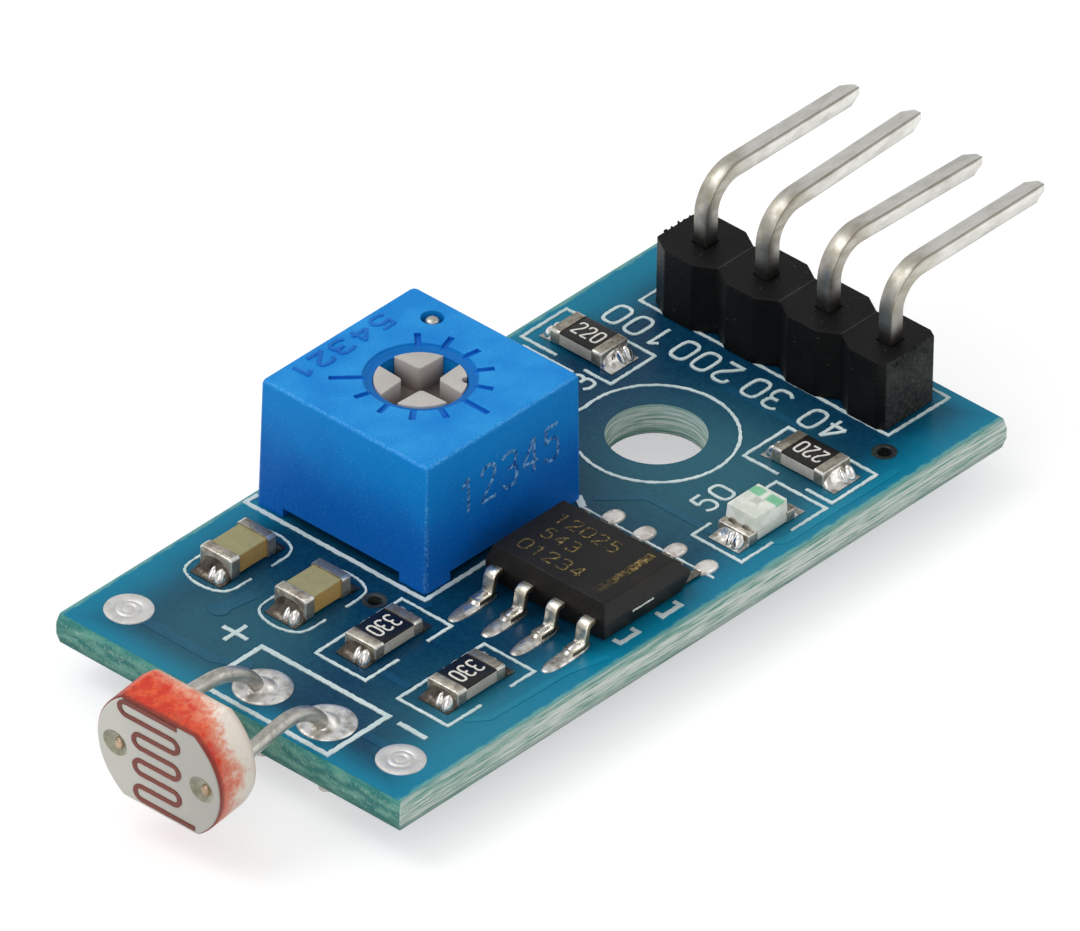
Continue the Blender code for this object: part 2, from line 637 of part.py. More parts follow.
def build_rotor(spindle):
    """The turning rotor: a boss with a cross slot and a notch, over a hub with one stop lug."""
    flange = ROTOR_FLANGE_DIAMETER / 2
    boss = TRIMMER_WELL_DIAMETER / 2 - ROTOR_CLEARANCE
    shape = bmesh.new()
    add_turned(
        shape,
        [
            (0.0, FLANGE_BOTTOM),
            (flange, FLANGE_BOTTOM),
            (flange, FLANGE_TOP),
            (boss, FLANGE_TOP),
            (boss, ROTOR_TOP),
            (0.0, ROTOR_TOP),
        ],
        2 * ROUND_SEGMENTS,
    )
    rotor = add_piece("trimmer_rotor", shape, "grey_plastic", spindle)
    hub = ROTOR_HUB_DIAMETER / 2
    waste = arc_band(hub, flange + CUT_MARGIN, POINTER_DEGREES + 180.0, 360.0 - LUG_DEGREES)
    cut(rotor, "rotor_waste", prism(waste, FLANGE_BOTTOM - CUT_MARGIN, FLANGE_TOP + CUT_MARGIN))
    end = boss + CUT_MARGIN
    narrow = ROTOR_SLOT_END_WIDTH / 2
    wide = ROTOR_SLOT_WIDTH / 2
    arm = [(-end, -narrow), (0.0, -wide), (end, -narrow), (end, narrow), (0.0, wide), (-end, narrow)]
    slot_bottom = ROTOR_TOP - ROTOR_SLOT_DEPTH
    cut(rotor, "rotor_slot_x", prism(arm, slot_bottom, ROTOR_TOP + CUT_MARGIN))
    crossing_arm = [(-y, x) for x, y in arm]
    cut(rotor, "rotor_slot_y", prism(crossing_arm, slot_bottom, ROTOR_TOP + CUT_MARGIN))
    pointer = math.radians(POINTER_DEGREES)
    notch = bmesh.new()
    notch_place = (boss * math.cos(pointer), boss * math.sin(pointer))
    add_cylinder(notch, ROTOR_NOTCH_DIAMETER, slot_bottom, ROTOR_TOP + CUT_MARGIN, notch_place)
    cut(rotor, "rotor_notch", notch)
    key = bmesh.new()
    key_height = WIPER_SLOT_DEPTH + CUT_MARGIN
    add_box(
        key,
        (ROTOR_FLANGE_DIAMETER + CUT_MARGIN, WIPER_WIDTH + 2 * SEAT_GAP, key_height),
        (0.0, 0.0, FLANGE_BOTTOM + WIPER_SLOT_DEPTH - key_height / 2),
    )
    bmesh.ops.rotate(key, verts=key.verts, matrix=Matrix.Rotation(pointer, 3, "Z"))
    cut(rotor, "rotor_wiper_slot", key)


def build_wiper(spindle):
    """The bronze strip keyed into the rotor's underside, touching the collector and the track."""
    low = TRACK_TOP + SEAT_GAP + WIPER_THICKNESS / 2
    high = FLANGE_BOTTOM + WIPER_SLOT_DEPTH - SEAT_GAP - WIPER_THICKNESS / 2
    corners = [(-TRACK_RADIUS, high), (-TRACK_RADIUS / 2, high), (0.0, low), (TRACK_RADIUS / 2, high)]
    corners += [(TRACK_RADIUS, low), (TRACK_RADIUS + TRACK_WIDTH / 2, (low + high) / 2)]
    path = rounded_path([(x, 0.0, z) for x, z in corners], WIPER_THICKNESS, steps=3)
    strip = sweep(path, flat_section(WIPER_WIDTH, WIPER_THICKNESS))
    turn = Matrix.Rotation(math.radians(POINTER_DEGREES), 3, "Z")
    bmesh.ops.rotate(strip, verts=strip.verts, matrix=turn)
    add_piece("trimmer_wiper", strip, "spring_bronze", spindle)


def build_trimmer(root):
    """The whole trimmer, on three pins soldered through the board."""
    group = add_group("trimmer", (TRIMMER_X, TRIMMER_Y, BOARD_THICKNESS), parent=root)
    build_trimmer_housing(group)
    build_trimmer_element(group)
    spindle = add_group("trimmer_axis", (0.0, 0.0, 0.0), parent=group)
    build_rotor(spindle)
    build_wiper(spindle)
    tops = (ELEMENT_TOP, ELEMENT_TOP, TRIMMER_HEIGHT - TRIMMER_POST_DEPTH)
    for number, (place, top) in enumerate(zip(trimmer_pin_places(), tops), 1):
        pin = bmesh.new()
        add_cylinder(pin, TRIMMER_PIN_DIAMETER, -TAIL_LENGTH, BOARD_THICKNESS + top, place)
        add_piece(f"trimmer_pin_{number}", pin, "tinned_metal", root)
        room = bmesh.new()
        diameter = TRIMMER_PIN_DIAMETER + 2 * SEAT_GAP
        add_cylinder(room, diameter, -SOLDER_HEIGHT - CUT_MARGIN, BOARD_THICKNESS + CUT_MARGIN, place)
        add_solder(
            f"trimmer_solder_{number}",
            place,
            room,
            TRIMMER_HOLE_DIAMETER,
            TRIMMER_PAD_DIAMETER,
            diameter,
            root,
        )


def build_comparator(root):
    """The moulded package, drafted above and below its parting line, and eight gull-wing leads."""
    group = add_group("comparator", (COMPARATOR_X, COMPARATOR_Y, BOARD_THICKNESS), parent=root)
    shape = bmesh.new()
    drafted = (COMPARATOR_WIDTH - 2 * COMPARATOR_DRAFT, COMPARATOR_LENGTH - 2 * COMPARATOR_DRAFT)
    full = (COMPARATOR_WIDTH, COMPARATOR_LENGTH)
    add_loft(
        shape,
        [
            rectangle(*drafted, COMPARATOR_STANDOFF),
            rectangle(*full, LEAD_HEIGHT - LEAD_THICKNESS / 2),
            rectangle(*full, LEAD_HEIGHT + LEAD_THICKNESS / 2),
            rectangle(*drafted, COMPARATOR_TOP),
        ],
    )
    body = add_piece("comparator_body", shape, "package_epoxy", group)
    edge = drafted[0] / 2 - COMPARATOR_CHAMFER
    reach = COMPARATOR_CHAMFER + CUT_MARGIN
    slope = [(edge, 0.0), (edge + reach, -reach), (edge + reach, CUT_MARGIN), (edge, CUT_MARGIN)]
    chamfer = bmesh.new()
    half = COMPARATOR_LENGTH / 2 + CUT_MARGIN
    add_loft(chamfer, [[(x, y, COMPARATOR_TOP + z) for x, z in slope] for y in (-half, half)])
    cut(body, "comparator_chamfer", chamfer)
    root_x = COMPARATOR_WIDTH / 2 + SEAT_GAP
    foot_height = SEAT_GAP + LEAD_THICKNESS / 2
    corners = [
        (root_x, LEAD_HEIGHT),
        (root_x + LEAD_KNEE, LEAD_HEIGHT),
        (LEAD_SPAN / 2 - LEAD_FOOT, foot_height),
        (LEAD_SPAN / 2, foot_height),
    ]
    for number in range(2 * LEADS_PER_SIDE):
        row, column = divmod(number, LEADS_PER_SIDE)
        facing = (-1, 1)[row]
        along = (LEADS_PER_SIDE - 1) / 2 - column
        y = along * LEAD_PITCH * -facing
        path = rounded_path([(facing * x, y, z) for x, z in corners], LEAD_BEND_RADIUS, steps=4)
        lead = sweep(path, flat_section(LEAD_WIDTH, LEAD_THICKNESS))
        add_piece(f"comparator_lead_{number + 1}", lead, "tinned_metal", group)


def chip_lift():
    """Returns the height of a chip's underside above the board, on its terminals' tabs."""
    return 2 * SEAT_GAP + TERMINAL_SKIN


def terminal_outline(size):
    """Returns the (x, z) outline of a chip's +X end terminal with its hollow solder fillet."""
    length, _, height = size
    outer = length / 2 + SEAT_GAP + TERMINAL_SKIN
    inner = length / 2 - TERMINAL_TAB
    over = chip_lift() + height + SEAT_GAP + TERMINAL_SKIN
    toe = length / 2 + FILLET_REACH
    crest = over * FILLET_SHARE
    outline = [(inner, SEAT_GAP), (toe, SEAT_GAP), (toe, 2 * SEAT_GAP)]
    for step in range(1, BEND_STEPS):
        turn = math.pi / 2 * (1.0 - step / BEND_STEPS)
        x = toe - (toe - outer) * math.cos(turn)
        outline.append((x, crest - (crest - 2 * SEAT_GAP) * math.sin(turn)))
    return outline + [(outer, crest), (outer, over), (inner, over)]


def add_terminals(name, size, width, group):
    """Adds a chip's two end terminals, each this wide and cut out where the body sits in it."""
    for number, facing in enumerate((-1, 1), 1):
        shape = bmesh.new()
        outline = terminal_outline(size)
        sides = [[(facing * x, y, z) for x, z in outline] for y in (-width / 2, width / 2)]
        add_loft(shape, sides)
        terminal = add_piece(f"{name}_terminal_{number}", shape, "solder", group)
        seat = bmesh.new()
        seat_size = [edge + 2 * SEAT_GAP for edge in size]
        add_box(seat, seat_size, (0.0, 0.0, chip_lift() + size[2] / 2))
        cut(terminal, f"{name}_seat_{number}", seat)


def add_chip(name, size, terminal_width, finish_name, place, root):
    """Adds a plain chip part: a block between two terminals."""
    x, y, turn = place
    group = add_group(name, (x, y, BOARD_THICKNESS), (0.0, 0.0, math.radians(turn)), root)
    shape = bmesh.new()
    add_box(shape, size, (0.0, 0.0, chip_lift() + size[2] / 2))
    add_piece(f"{name}_body", shape, finish_name, group)
    add_terminals(name, size, terminal_width, group)


def add_led(name, place, root):
    """Adds a chip lamp: a base plate with a moulded lens block, between two terminals."""
    x, y, turn = place
    group = add_group(name, (x, y, BOARD_THICKNESS), (0.0, 0.0, math.radians(turn)), root)
    length, width, height = LED_SIZE
    base_top = chip_lift() + height
    lens_top = base_top + LED_LENS_HEIGHT
    drafted = (LED_LENS_LENGTH - 2 * LED_LENS_DRAFT, width - 2 * LED_LENS_DRAFT)
    shape = bmesh.new()
    add_loft(
        shape,
        [
            rectangle(length, width, chip_lift()),
            rectangle(length, width, base_top),
            rectangle(LED_LENS_LENGTH, width - LED_LENS_DRAFT, base_top),
            rectangle(*drafted, lens_top),
        ],
    )
    add_piece(f"{name}_body", shape, "milky_resin", group)
    add_terminals(name, LED_SIZE, width, group)


def build_chips(root):
    """Four resistors, two capacitors and two lamps."""
    flush = RESISTOR_SIZE[1]
    for number, place in enumerate(RESISTOR_PLACES, 1):
        add_chip(f"resistor_{number}", RESISTOR_SIZE, flush, "resistor_glaze", place, root)
    wrapped = CAPACITOR_SIZE[1] + 2 * (SEAT_GAP + TERMINAL_SKIN)
    for number, place in enumerate(CAPACITOR_PLACES, 1):
        add_chip(f"capacitor_{number}", CAPACITOR_SIZE, wrapped, "tan_ceramic", place, root)
    for name, place in LED_PLACES.items():
        add_led(name, place, root)


def sensor_outline(inset):
    """Returns the (y, z) outline of the disc, a circle cut by two flats, shrunk by an inset."""
    radius = SENSOR_DIAMETER / 2 - inset
    flat = SENSOR_HEIGHT / 2 - inset
    corner = math.asin(flat / radius)
    turns = [corner * (2 * step / ROUND_SEGMENTS - 1) for step in range(ROUND_SEGMENTS + 1)]
    right = [(radius * math.cos(turn), radius * math.sin(turn)) for turn in turns]
    return right + [(-y, -z) for y, z in right]


def serpentine_path():
    """Returns the track's centre line on the face: parallel lines joined by half-circle turns."""
    radius = SERPENTINE_PITCH / 2
    top = SERPENTINE_PITCH * (SERPENTINE_LINES - 1) / 2
    end = SERPENTINE_HALF_LENGTH + radius + SERPENTINE_TAIL
    path = [Vector((0.0, end, top))]
    for turn in range(SERPENTINE_LINES - 1):
        facing = (-1, 1)[turn % 2]
        middle = top - SERPENTINE_PITCH * (turn + 0.5)
        for step in range(BEND_STEPS + 1):
            angle = math.pi * (0.5 - step / BEND_STEPS)
            y = facing * (SERPENTINE_HALF_LENGTH + radius * math.cos(angle))
            path.append(Vector((0.0, y, middle + radius * math.sin(angle))))
    path.append(Vector((0.0, -end, -top)))
    return path


def sensor_lead_path(pose, across, pad):
    """Returns a wire's centre line: from its head, out of the disc's back, then down into the board."""
    head = pose @ Vector((SENSOR_RECESS_DEPTH / 2, across, 0.0))
    back = pose @ Vector((SENSOR_THICKNESS + SENSOR_LEAD_DIAMETER, across, 0.0))
    above = Vector((pad[0], pad[1], SENSOR_BEND_HEIGHT))
    tail = Vector((pad[0], pad[1], -TAIL_LENGTH))
    bend = rounded_path([back, above, tail], SENSOR_BEND_RADIUS)
    return [head, *bend]


def build_photoresistor(root):
    """The flatted disc, its serpentine track, two wires with heads, and their solder."""
    place = Vector((SENSOR_FACE_X, SENSOR_Y, SENSOR_Z))
    pose = Matrix.Translation(place) @ Euler(SENSOR_TURN).to_matrix().to_4x4()
    group = add_group("photoresistor", place, SENSOR_TURN, root)
    shape = bmesh.new()
    rims = [(0.0, SENSOR_FRONT_EDGE), (SENSOR_FRONT_EDGE, 0.0)]
    for step in range(EDGE_STEPS + 1):
        turn = math.pi / 2 * step / EDGE_STEPS
        depth = SENSOR_THICKNESS - SENSOR_BACK_EDGE * (1.0 - math.sin(turn))
        rims.append((depth, SENSOR_BACK_EDGE * (1.0 - math.cos(turn))))
    add_loft(shape, [[(x, y, z) for y, z in sensor_outline(inset)] for x, inset in rims])
    body = add_piece("photoresistor_body", shape, "red_lacquer", group)
    track_place = Vector((-SEAT_GAP - SERPENTINE_THICKNESS / 2, SERPENTINE_Y, SERPENTINE_Z))
    track = sweep(
        [point + track_place for point in serpentine_path()],
        flat_section(SERPENTINE_THICKNESS, SERPENTINE_WIDTH),
        side=(1.0, 0.0, 0.0),
    )
    add_piece("photoresistor_track", track, "brown_film", group)
    half = SENSOR_LEAD_SPACING / 2
    for number, (across, pad) in enumerate(zip((half, -half), sensor_pad_places()), 1):
        recess = [Vector((x, across, 0.0)) for x in (-CUT_MARGIN, SENSOR_RECESS_DEPTH)]
        cut(body, f"photoresistor_recess_{number}", sweep(recess, round_section(SENSOR_RECESS_DIAMETER)))
        bore = [Vector((x, across, 0.0)) for x in (0.0, SENSOR_THICKNESS + CUT_MARGIN)]
        bore_section = round_section(SENSOR_LEAD_DIAMETER + 2 * SENSOR_BORE_CLEARANCE)
        cut(body, f"photoresistor_bore_{number}", sweep(bore, bore_section))
        path = sensor_lead_path(pose, across, pad)
        wire = sweep(path, round_section(SENSOR_LEAD_DIAMETER, ROUND_SEGMENTS // 2))
        add_piece(f"photoresistor_lead_{number}", wire, "tinned_metal", root)
        low_path = [point for point in path if point.z < SENSOR_BEND_HEIGHT - SENSOR_LEAD_DIAMETER / 2]
        low_path[-1] = low_path[-1] - Vector((0.0, 0.0, CUT_MARGIN))
        room = sweep(low_path, round_section(SENSOR_LEAD_DIAMETER + 2 * SEAT_GAP, ROUND_SEGMENTS // 2))
        add_solder(
            f"photoresistor_solder_{number}",
            pad,
            room,
            SENSOR_HOLE_DIAMETER,
            SENSOR_PAD_DIAMETER,
            SENSOR_LEAD_DIAMETER,
            root,
            mound=SENSOR_MOUND_HEIGHT,
        )


def main():
    """Clears the scene and builds the module."""
    clear_scene()
    root = add_group("light_sensor_module", (0.0, 0.0, 0.0))
    build_board(root)
    build_header(root)
    build_trimmer(root)
    build_comparator(root)
    build_chips(root)
    build_photoresistor(root)


main()
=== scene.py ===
"""Looks of the light sensor module: the finish of every surface, the solder, the print and the studio.

Lengths are in millimetres in the part's own frame, where the board's underside is at z = 0, and
turn into metres when a form becomes a piece.
"""

import json
import logging
import math
import random
from abc import ABC, abstractmethod
from collections.abc import Callable, Iterable, Sequence
from dataclasses import dataclass, field
from enum import Enum
from typing import ClassVar

import bmesh
import bpy
from mathutils import Euler, Matrix, Vector

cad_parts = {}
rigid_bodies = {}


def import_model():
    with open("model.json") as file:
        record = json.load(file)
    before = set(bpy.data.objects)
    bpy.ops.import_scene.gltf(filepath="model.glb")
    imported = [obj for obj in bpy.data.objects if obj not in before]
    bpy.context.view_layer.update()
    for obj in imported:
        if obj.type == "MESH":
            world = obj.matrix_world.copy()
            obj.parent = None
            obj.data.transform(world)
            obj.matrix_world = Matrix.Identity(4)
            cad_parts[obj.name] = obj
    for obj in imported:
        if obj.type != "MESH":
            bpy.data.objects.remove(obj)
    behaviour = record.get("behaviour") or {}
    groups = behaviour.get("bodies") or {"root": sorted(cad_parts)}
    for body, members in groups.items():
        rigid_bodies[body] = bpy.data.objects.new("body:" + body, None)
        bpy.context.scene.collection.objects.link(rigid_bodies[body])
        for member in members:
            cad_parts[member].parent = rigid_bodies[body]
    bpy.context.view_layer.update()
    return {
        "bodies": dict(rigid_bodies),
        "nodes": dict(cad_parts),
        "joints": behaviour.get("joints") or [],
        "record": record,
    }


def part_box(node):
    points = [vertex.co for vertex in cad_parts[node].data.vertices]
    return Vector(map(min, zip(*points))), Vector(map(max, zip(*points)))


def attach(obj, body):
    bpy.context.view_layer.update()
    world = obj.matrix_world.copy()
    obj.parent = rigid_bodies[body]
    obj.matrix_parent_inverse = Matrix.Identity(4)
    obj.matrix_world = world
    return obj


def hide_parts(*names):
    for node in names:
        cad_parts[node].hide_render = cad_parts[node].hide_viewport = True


LOG = logging.getLogger("light_sensor_module")

MM = 0.001
Colour = tuple[float, float, float]
Tint = str | Colour
Spot = tuple[float, float]
Stroke = tuple[float, Sequence[Spot]]

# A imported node's triangles: how near their corners are joined, and how flat the faces that become one.
WELD = 0.0008
FLAT = math.radians(1.5)
# The least angle of an edge that is rounded.
SHARP = math.radians(30)
PETAL_SHARP = 0.5
# How far each stroke stands over the one before, so that no two lie in one plane, and how many do so in turn.
STROKE_LIFT = 0.0007
STROKE_CYCLE = 12
# A numeral's height, and the way from one to the next, in numerals' widths.
NUMERAL_HEIGHT = 1.5
NUMERAL_PITCH = 1.45


def srgb(code: str) -> Colour:
    """Turns a hex colour as seen on a screen into linear values.

    Args:
        code: Six hex digits.

    Returns:
        The linear red, green and blue.
    """
    shares = [int(code[index : index + 2], 16) / 255 for index in (0, 2, 4)]
    return tuple(
        share / 12.92 if share <= 0.04045 else ((share + 0.055) / 1.055) ** 2.4 for share in shares
    )


class Signal:
    """A shader socket that can be written in sums."""

    def __init__(self, graph: "Graph", socket: bpy.types.NodeSocket) -> None:
        """Wraps a socket of a graph."""
        self.graph = graph
        self.socket = socket

    def maths(self, operation: str, *others: "Signal | float") -> "Signal":
        """Adds a Math node whose first value is this socket."""
        values = dict(enumerate((self, *others)))
        return self.graph.node("ShaderNodeMath", {"operation": operation}, values)

    def __add__(self, other: "Signal | float") -> "Signal":
        """Adds."""
        return self.maths("ADD", other)

    __radd__ = __add__

    def __sub__(self, other: "Signal | float") -> "Signal":
        """Subtracts."""
        return self.maths("SUBTRACT", other)

    def __rsub__(self, other: float) -> "Signal":
        """Subtracts this from a number."""
        return -self + other

    def __mul__(self, other: "Signal | float") -> "Signal":
        """Multiplies."""
        return self.maths("MULTIPLY", other)

    __rmul__ = __mul__

    def __truediv__(self, other: "Signal | float") -> "Signal":
        """Divides."""
        return self.maths("DIVIDE", other)

    def __neg__(self) -> "Signal":
        """Changes the sign."""
        return self.maths("MULTIPLY", -1.0)

    def __abs__(self) -> "Signal":
        """Drops the sign."""
        return self.maths("ABSOLUTE")

    def step(self, low: float, high: float) -> "Signal":
        """Runs smoothly from 0 to 1 between two values.

        Args:
            low: The value that gives 0.
            high: The value that gives 1, which may be the smaller.

        Returns:
            The share.
        """
        ends = {"From Min": min(low, high), "From Max": max(low, high)}
        sides = {"To Min": float(low > high), "To Max": float(low <= high)}
        settings = {"interpolation_type": "SMOOTHSTEP"}
        return self.graph.node("ShaderNodeMapRange", settings, {"Value": self, **ends, **sides})


class Graph:
    """The node graph of one material, with the surface's place in millimetres."""

    def __init__(self, name: str) -> None:
        """Starts a material with its Principled BSDF.

        Args:
            name: The material's name.
        """
        self.material = bpy.data.materials.new(name)
        self.material.use_nodes = True
        self.tree = self.material.node_tree
        self.shader = self.tree.nodes["Principled BSDF"]
        place = self.node("ShaderNodeTexCoord", output="Object")
        self.place = self.stretch(place, (1 / MM, 1 / MM, 1 / MM))
        self.x, self.y, self.z = (
            self.node("ShaderNodeSeparateXYZ", sockets={0: self.place}, output=axis) for axis in "XYZ"
        )

    def node(
        self,
        kind: str,
        settings: dict[str, object] | None = None,
        sockets: dict[int | str, object] | None = None,
        output: int | str = 0,
    ) -> Signal:
        """Adds a node.

        Args:
            kind: The node's type.
            settings: Its settings, which are set first.
            sockets: The value or link of each of its inputs.
            output: The output to return.

        Returns:
            The chosen output.
        """
        node = self.tree.nodes.new(kind)
        for name, value in (settings or {}).items():
            setattr(node, name, value)
        for key, value in (sockets or {}).items():
            self.feed(node.inputs[key], value)
        return Signal(self, node.outputs[output])

    def feed(self, socket: bpy.types.NodeSocket, value: object) -> None:
        """Links a signal to a socket, or sets a plain value on it.

        Args:
            socket: The input.
            value: The signal, number, vector or colour.
        """
        if isinstance(value, Signal):
            self.tree.links.new(value.socket, socket)
        elif socket.type == "RGBA":
            socket.default_value = (*(srgb(value) if isinstance(value, str) else value)[:3], 1.0)
        else:
            socket.default_value = value

    def set(self, **values: object) -> None:
        """Feeds the Principled BSDF's inputs.

        Args:
            values: The value of each, under its name in lower case with underscores.
        """
        names = {socket.name.lower().replace(" ", "_"): socket for socket in self.shader.inputs}
        for name, value in values.items():
            self.feed(names[name], value)

    def stretch(self, vector: Signal, factors: Sequence[float]) -> Signal:
        """Multiplies a vector by three factors."""
        sockets = {0: vector, 1: tuple(factors)}
        return self.node("ShaderNodeVectorMath", {"operation": "MULTIPLY"}, sockets)

    def along(self, axis: Sequence[float]) -> Signal:
        """Measures the surface's place along an axis."""
        sockets = {0: self.place, 1: tuple(axis)}
        return self.node("ShaderNodeVectorMath", {"operation": "DOT_PRODUCT"}, sockets, "Value")

    def away(self, x: float, y: float) -> Signal:
        """Measures the distance from an upright line."""
        across, along = self.x - x, self.y - y
        return (across * across + along * along).maths("SQRT")

    def noise(
        self, size: float, detail: float = 3.0, factors: Sequence[float] = (1, 1, 1), rough: float = 0.5
    ) -> Signal:
        """Returns noise round 0.5, of a size in millimetres and denser along each axis by its factor."""
        sockets = {"Vector": self.stretch(self.place, factors), "Scale": 1 / size, "Detail": detail}
        return self.node("ShaderNodeTexNoise", sockets={**sockets, "Roughness": rough})

    def cells(self, size: float) -> Signal:
        """Returns the distance to the nearest of scattered points, as a share of their spacing."""
        return self.node("ShaderNodeTexVoronoi", sockets={"Vector": self.place, "Scale": 1 / size})

    def blend(self, share: "Signal | float", first: object, second: object) -> Signal:
        """Mixes two colours, from the first at 0 to the second at 1."""
        sockets = {0: share, 6: first, 7: second}
        return self.node("ShaderNodeMix", {"data_type": "RGBA"}, sockets, 2)

    def coats(self, colour: object, *layers: tuple[Signal, object]) -> Signal:
        """Lays colours over a ground, one after another.

        Args:
            colour: The ground.
            layers: The share and the colour of each layer.

        Returns:
            The colour that shows.
        """
        for share, tint in layers:
            colour = self.blend(share, colour, tint)
        return colour

    def relief(self, height: Signal, depth: float) -> None:
        """Bumps the surface by a height from 0 to 1 over a depth in millimetres."""
        sockets = {"Height": height, "Distance": depth * MM, "Strength": 1.0}
        self.set(normal=self.node("ShaderNodeBump", sockets=sockets))


@dataclass(frozen=True)
class Finish(ABC):
    """A surface's look, made into a material the first time it is used."""

    name: str
    slot: str
    made: ClassVar[dict[str, bpy.types.Material]] = {}

    @abstractmethod
    def paint(self, graph: Graph) -> None:
        """Builds the look in the graph of a new material."""

    def material(self) -> bpy.types.Material:
        """Makes the material, or finds the one that was made.

        Returns:
            The material.
        """
        if self.name not in self.made:
            graph = Graph(self.name)
            self.paint(graph)
            self.made[self.name] = graph.material
        return self.made[self.name]


@dataclass(frozen=True)
class Moulded(Finish):
    """Moulded or glazed material with a fine grain, faint clouds and pale specks."""

    colour: Tint
    light: Tint
    roughness: float = 0.45
    grain: float = 0.06
    depth: float = 0.006
    specks: float = 0.0
    coat: float = 0.0
    gloss: float = 0.5

    def paint(self, graph: Graph) -> None:
        """Colours the surface and grains it.

        Args:
            graph: The material's graph.
        """
        fine = graph.noise(self.grain, 3)
        graph.set(base_color=self.tone(graph, fine), roughness=self.roughness + (fine - 0.5) * 0.25)
        graph.set(coat_weight=self.coat, coat_roughness=0.12, specular_ior_level=self.gloss)
        graph.relief(fine, self.depth)

    def tone(self, graph: Graph, fine: Signal) -> Signal:
        """Mottles the colour and strews specks over it.

        Args:
            graph: The material's graph.
            fine: The surface's grain.

        Returns:
            The colour.
        """
        mottle = (graph.noise(1.6, 4) * 0.6 + fine * 0.4).step(0.35, 0.7)
        colour = graph.blend(mottle, self.colour, self.light)
        if not self.specks:
            return colour
        dots = graph.cells(0.22).step(self.specks * 0.5, self.specks * 0.2)
        sparse = graph.noise(0.5, 1).step(0.52, 0.6)
        return graph.blend(dots * sparse * 0.6, colour, "7c776c")


@dataclass(frozen=True)
class Graded(Moulded):
    """Moulded plastic with painted shade below its top, darker towards its foot, and pale dust specks."""

    upper: Tint = "000000"
    lower: Tint = "000000"
    levels: Sequence[float] = (0.0, -0.1, -1.0)
    dust: float = 0.0

    def tone(self, graph: Graph, fine: Signal) -> Signal:
        """Mixes the top's colour, the one just below it and the one at the foot, by height, as painted shade.

        Args:
            graph: The material's graph.
            fine: The surface's grain.

        Returns:
            The colour.
        """
        clouds = graph.noise(1.6, 4)
        top = graph.blend((clouds * 0.55 + fine * 0.45).step(0.38, 0.66), self.colour, self.light)
        start, edge, foot = self.levels
        # Painted shade: the walls darken from the upper tone to the lower one towards the foot.
        sunk = (graph.z + (clouds - 0.5) * (edge - foot) * 0.6).step(edge, foot)
        below = graph.blend(sunk, self.upper, self.lower)
        dusty = graph.noise(0.09, 2).step(0.56, 0.7) * self.dust
        return graph.coats(top, (graph.z.step(start, edge), below), (dusty, "6cb8f0"))


@dataclass(frozen=True)
class Housing(Graded):
    """The trimmer's blue plastic, scuffed pale along its edges, with painted shade in the ring round its
    well.
    """

    centre: Spot = (0.0, 0.0)
    half: float = 3.44
    ring: float = 1.8

    def tone(self, graph: Graph, fine: Signal) -> Signal:
        """Adds the scuffed edges and the painted shade in the ring.

        Args:
            graph: The material's graph.
            fine: The surface's grain.

        Returns:
            The colour.
        """
        across, along = abs(graph.x - self.centre[0]), abs(graph.y - self.centre[1])
        reach, lesser = across.maths("MAXIMUM", along), across.maths("MINIMUM", along)
        top = self.levels[0]
        rim = reach.step(self.half - 0.13, self.half - 0.05) * graph.z.step(top - 0.12, top - 0.02)
        corner = lesser.step(self.half - 0.1, self.half - 0.02)
        scuffs = rim.maths("MAXIMUM", corner) * graph.noise(0.1, 4, rough=0.7).step(0.42, 0.62)
        # Painted shade: the ring round the well is darkened by colour.
        shade = graph.away(*self.centre).step(self.ring + 0.06, self.ring - 0.12)
        shade *= graph.z.step(top - 0.3, top - 0.2)
        ground = super().tone(graph, fine)
        return graph.coats(ground, (shade * 0.55, "0a50a4"), (scuffs * 0.5, "6cb4ee"))


@dataclass(frozen=True)
class Worn(Finish):
    """Thin print or a scratch that is broken up by wear, and may fade along the board."""

    colour: Tint
    light: Tint
    wear: Spot = (0.4, 0.52)
    grain: float = 0.1
    fade: Spot | None = None

    def paint(self, graph: Graph) -> None:
        """Lets the ground show through where the noise is low or the print fades.

        Args:
            graph: The material's graph.
        """
        share = graph.noise(self.grain, 4, rough=0.65).step(*self.wear)
        if self.fade:
            share = share * graph.x.step(*self.fade)
        tone = graph.blend(graph.noise(0.16, 3).step(0.35, 0.65), self.colour, self.light)
        graph.set(base_color=tone, roughness=0.6, specular_ior_level=0.2, alpha=share)


@dataclass(frozen=True)
class Tinned(Finish):
    """Tin plate or solder: bright, with dull clouds and a fine grain."""

    colour: Colour
    dull: Colour
    roughness: float = 0.25
    haze: float = 0.2
    grain: float = 0.05
    depth: float = 0.004
    metal: float = 1.0

    def paint(self, graph: Graph) -> None:
        """Clouds the colour and the gloss together.

        Args:
            graph: The material's graph.
        """
        clouds = graph.noise(0.35, 4)
        fine = graph.noise(self.grain, 3)
        share = (clouds * 0.7 + fine * 0.3).step(0.4, 0.68)
        graph.set(base_color=graph.blend(share, self.colour, self.dull), metallic=self.metal)
        graph.set(roughness=share * self.haze + self.roughness)
        graph.relief(clouds * 0.6 + fine * 0.4, self.depth)


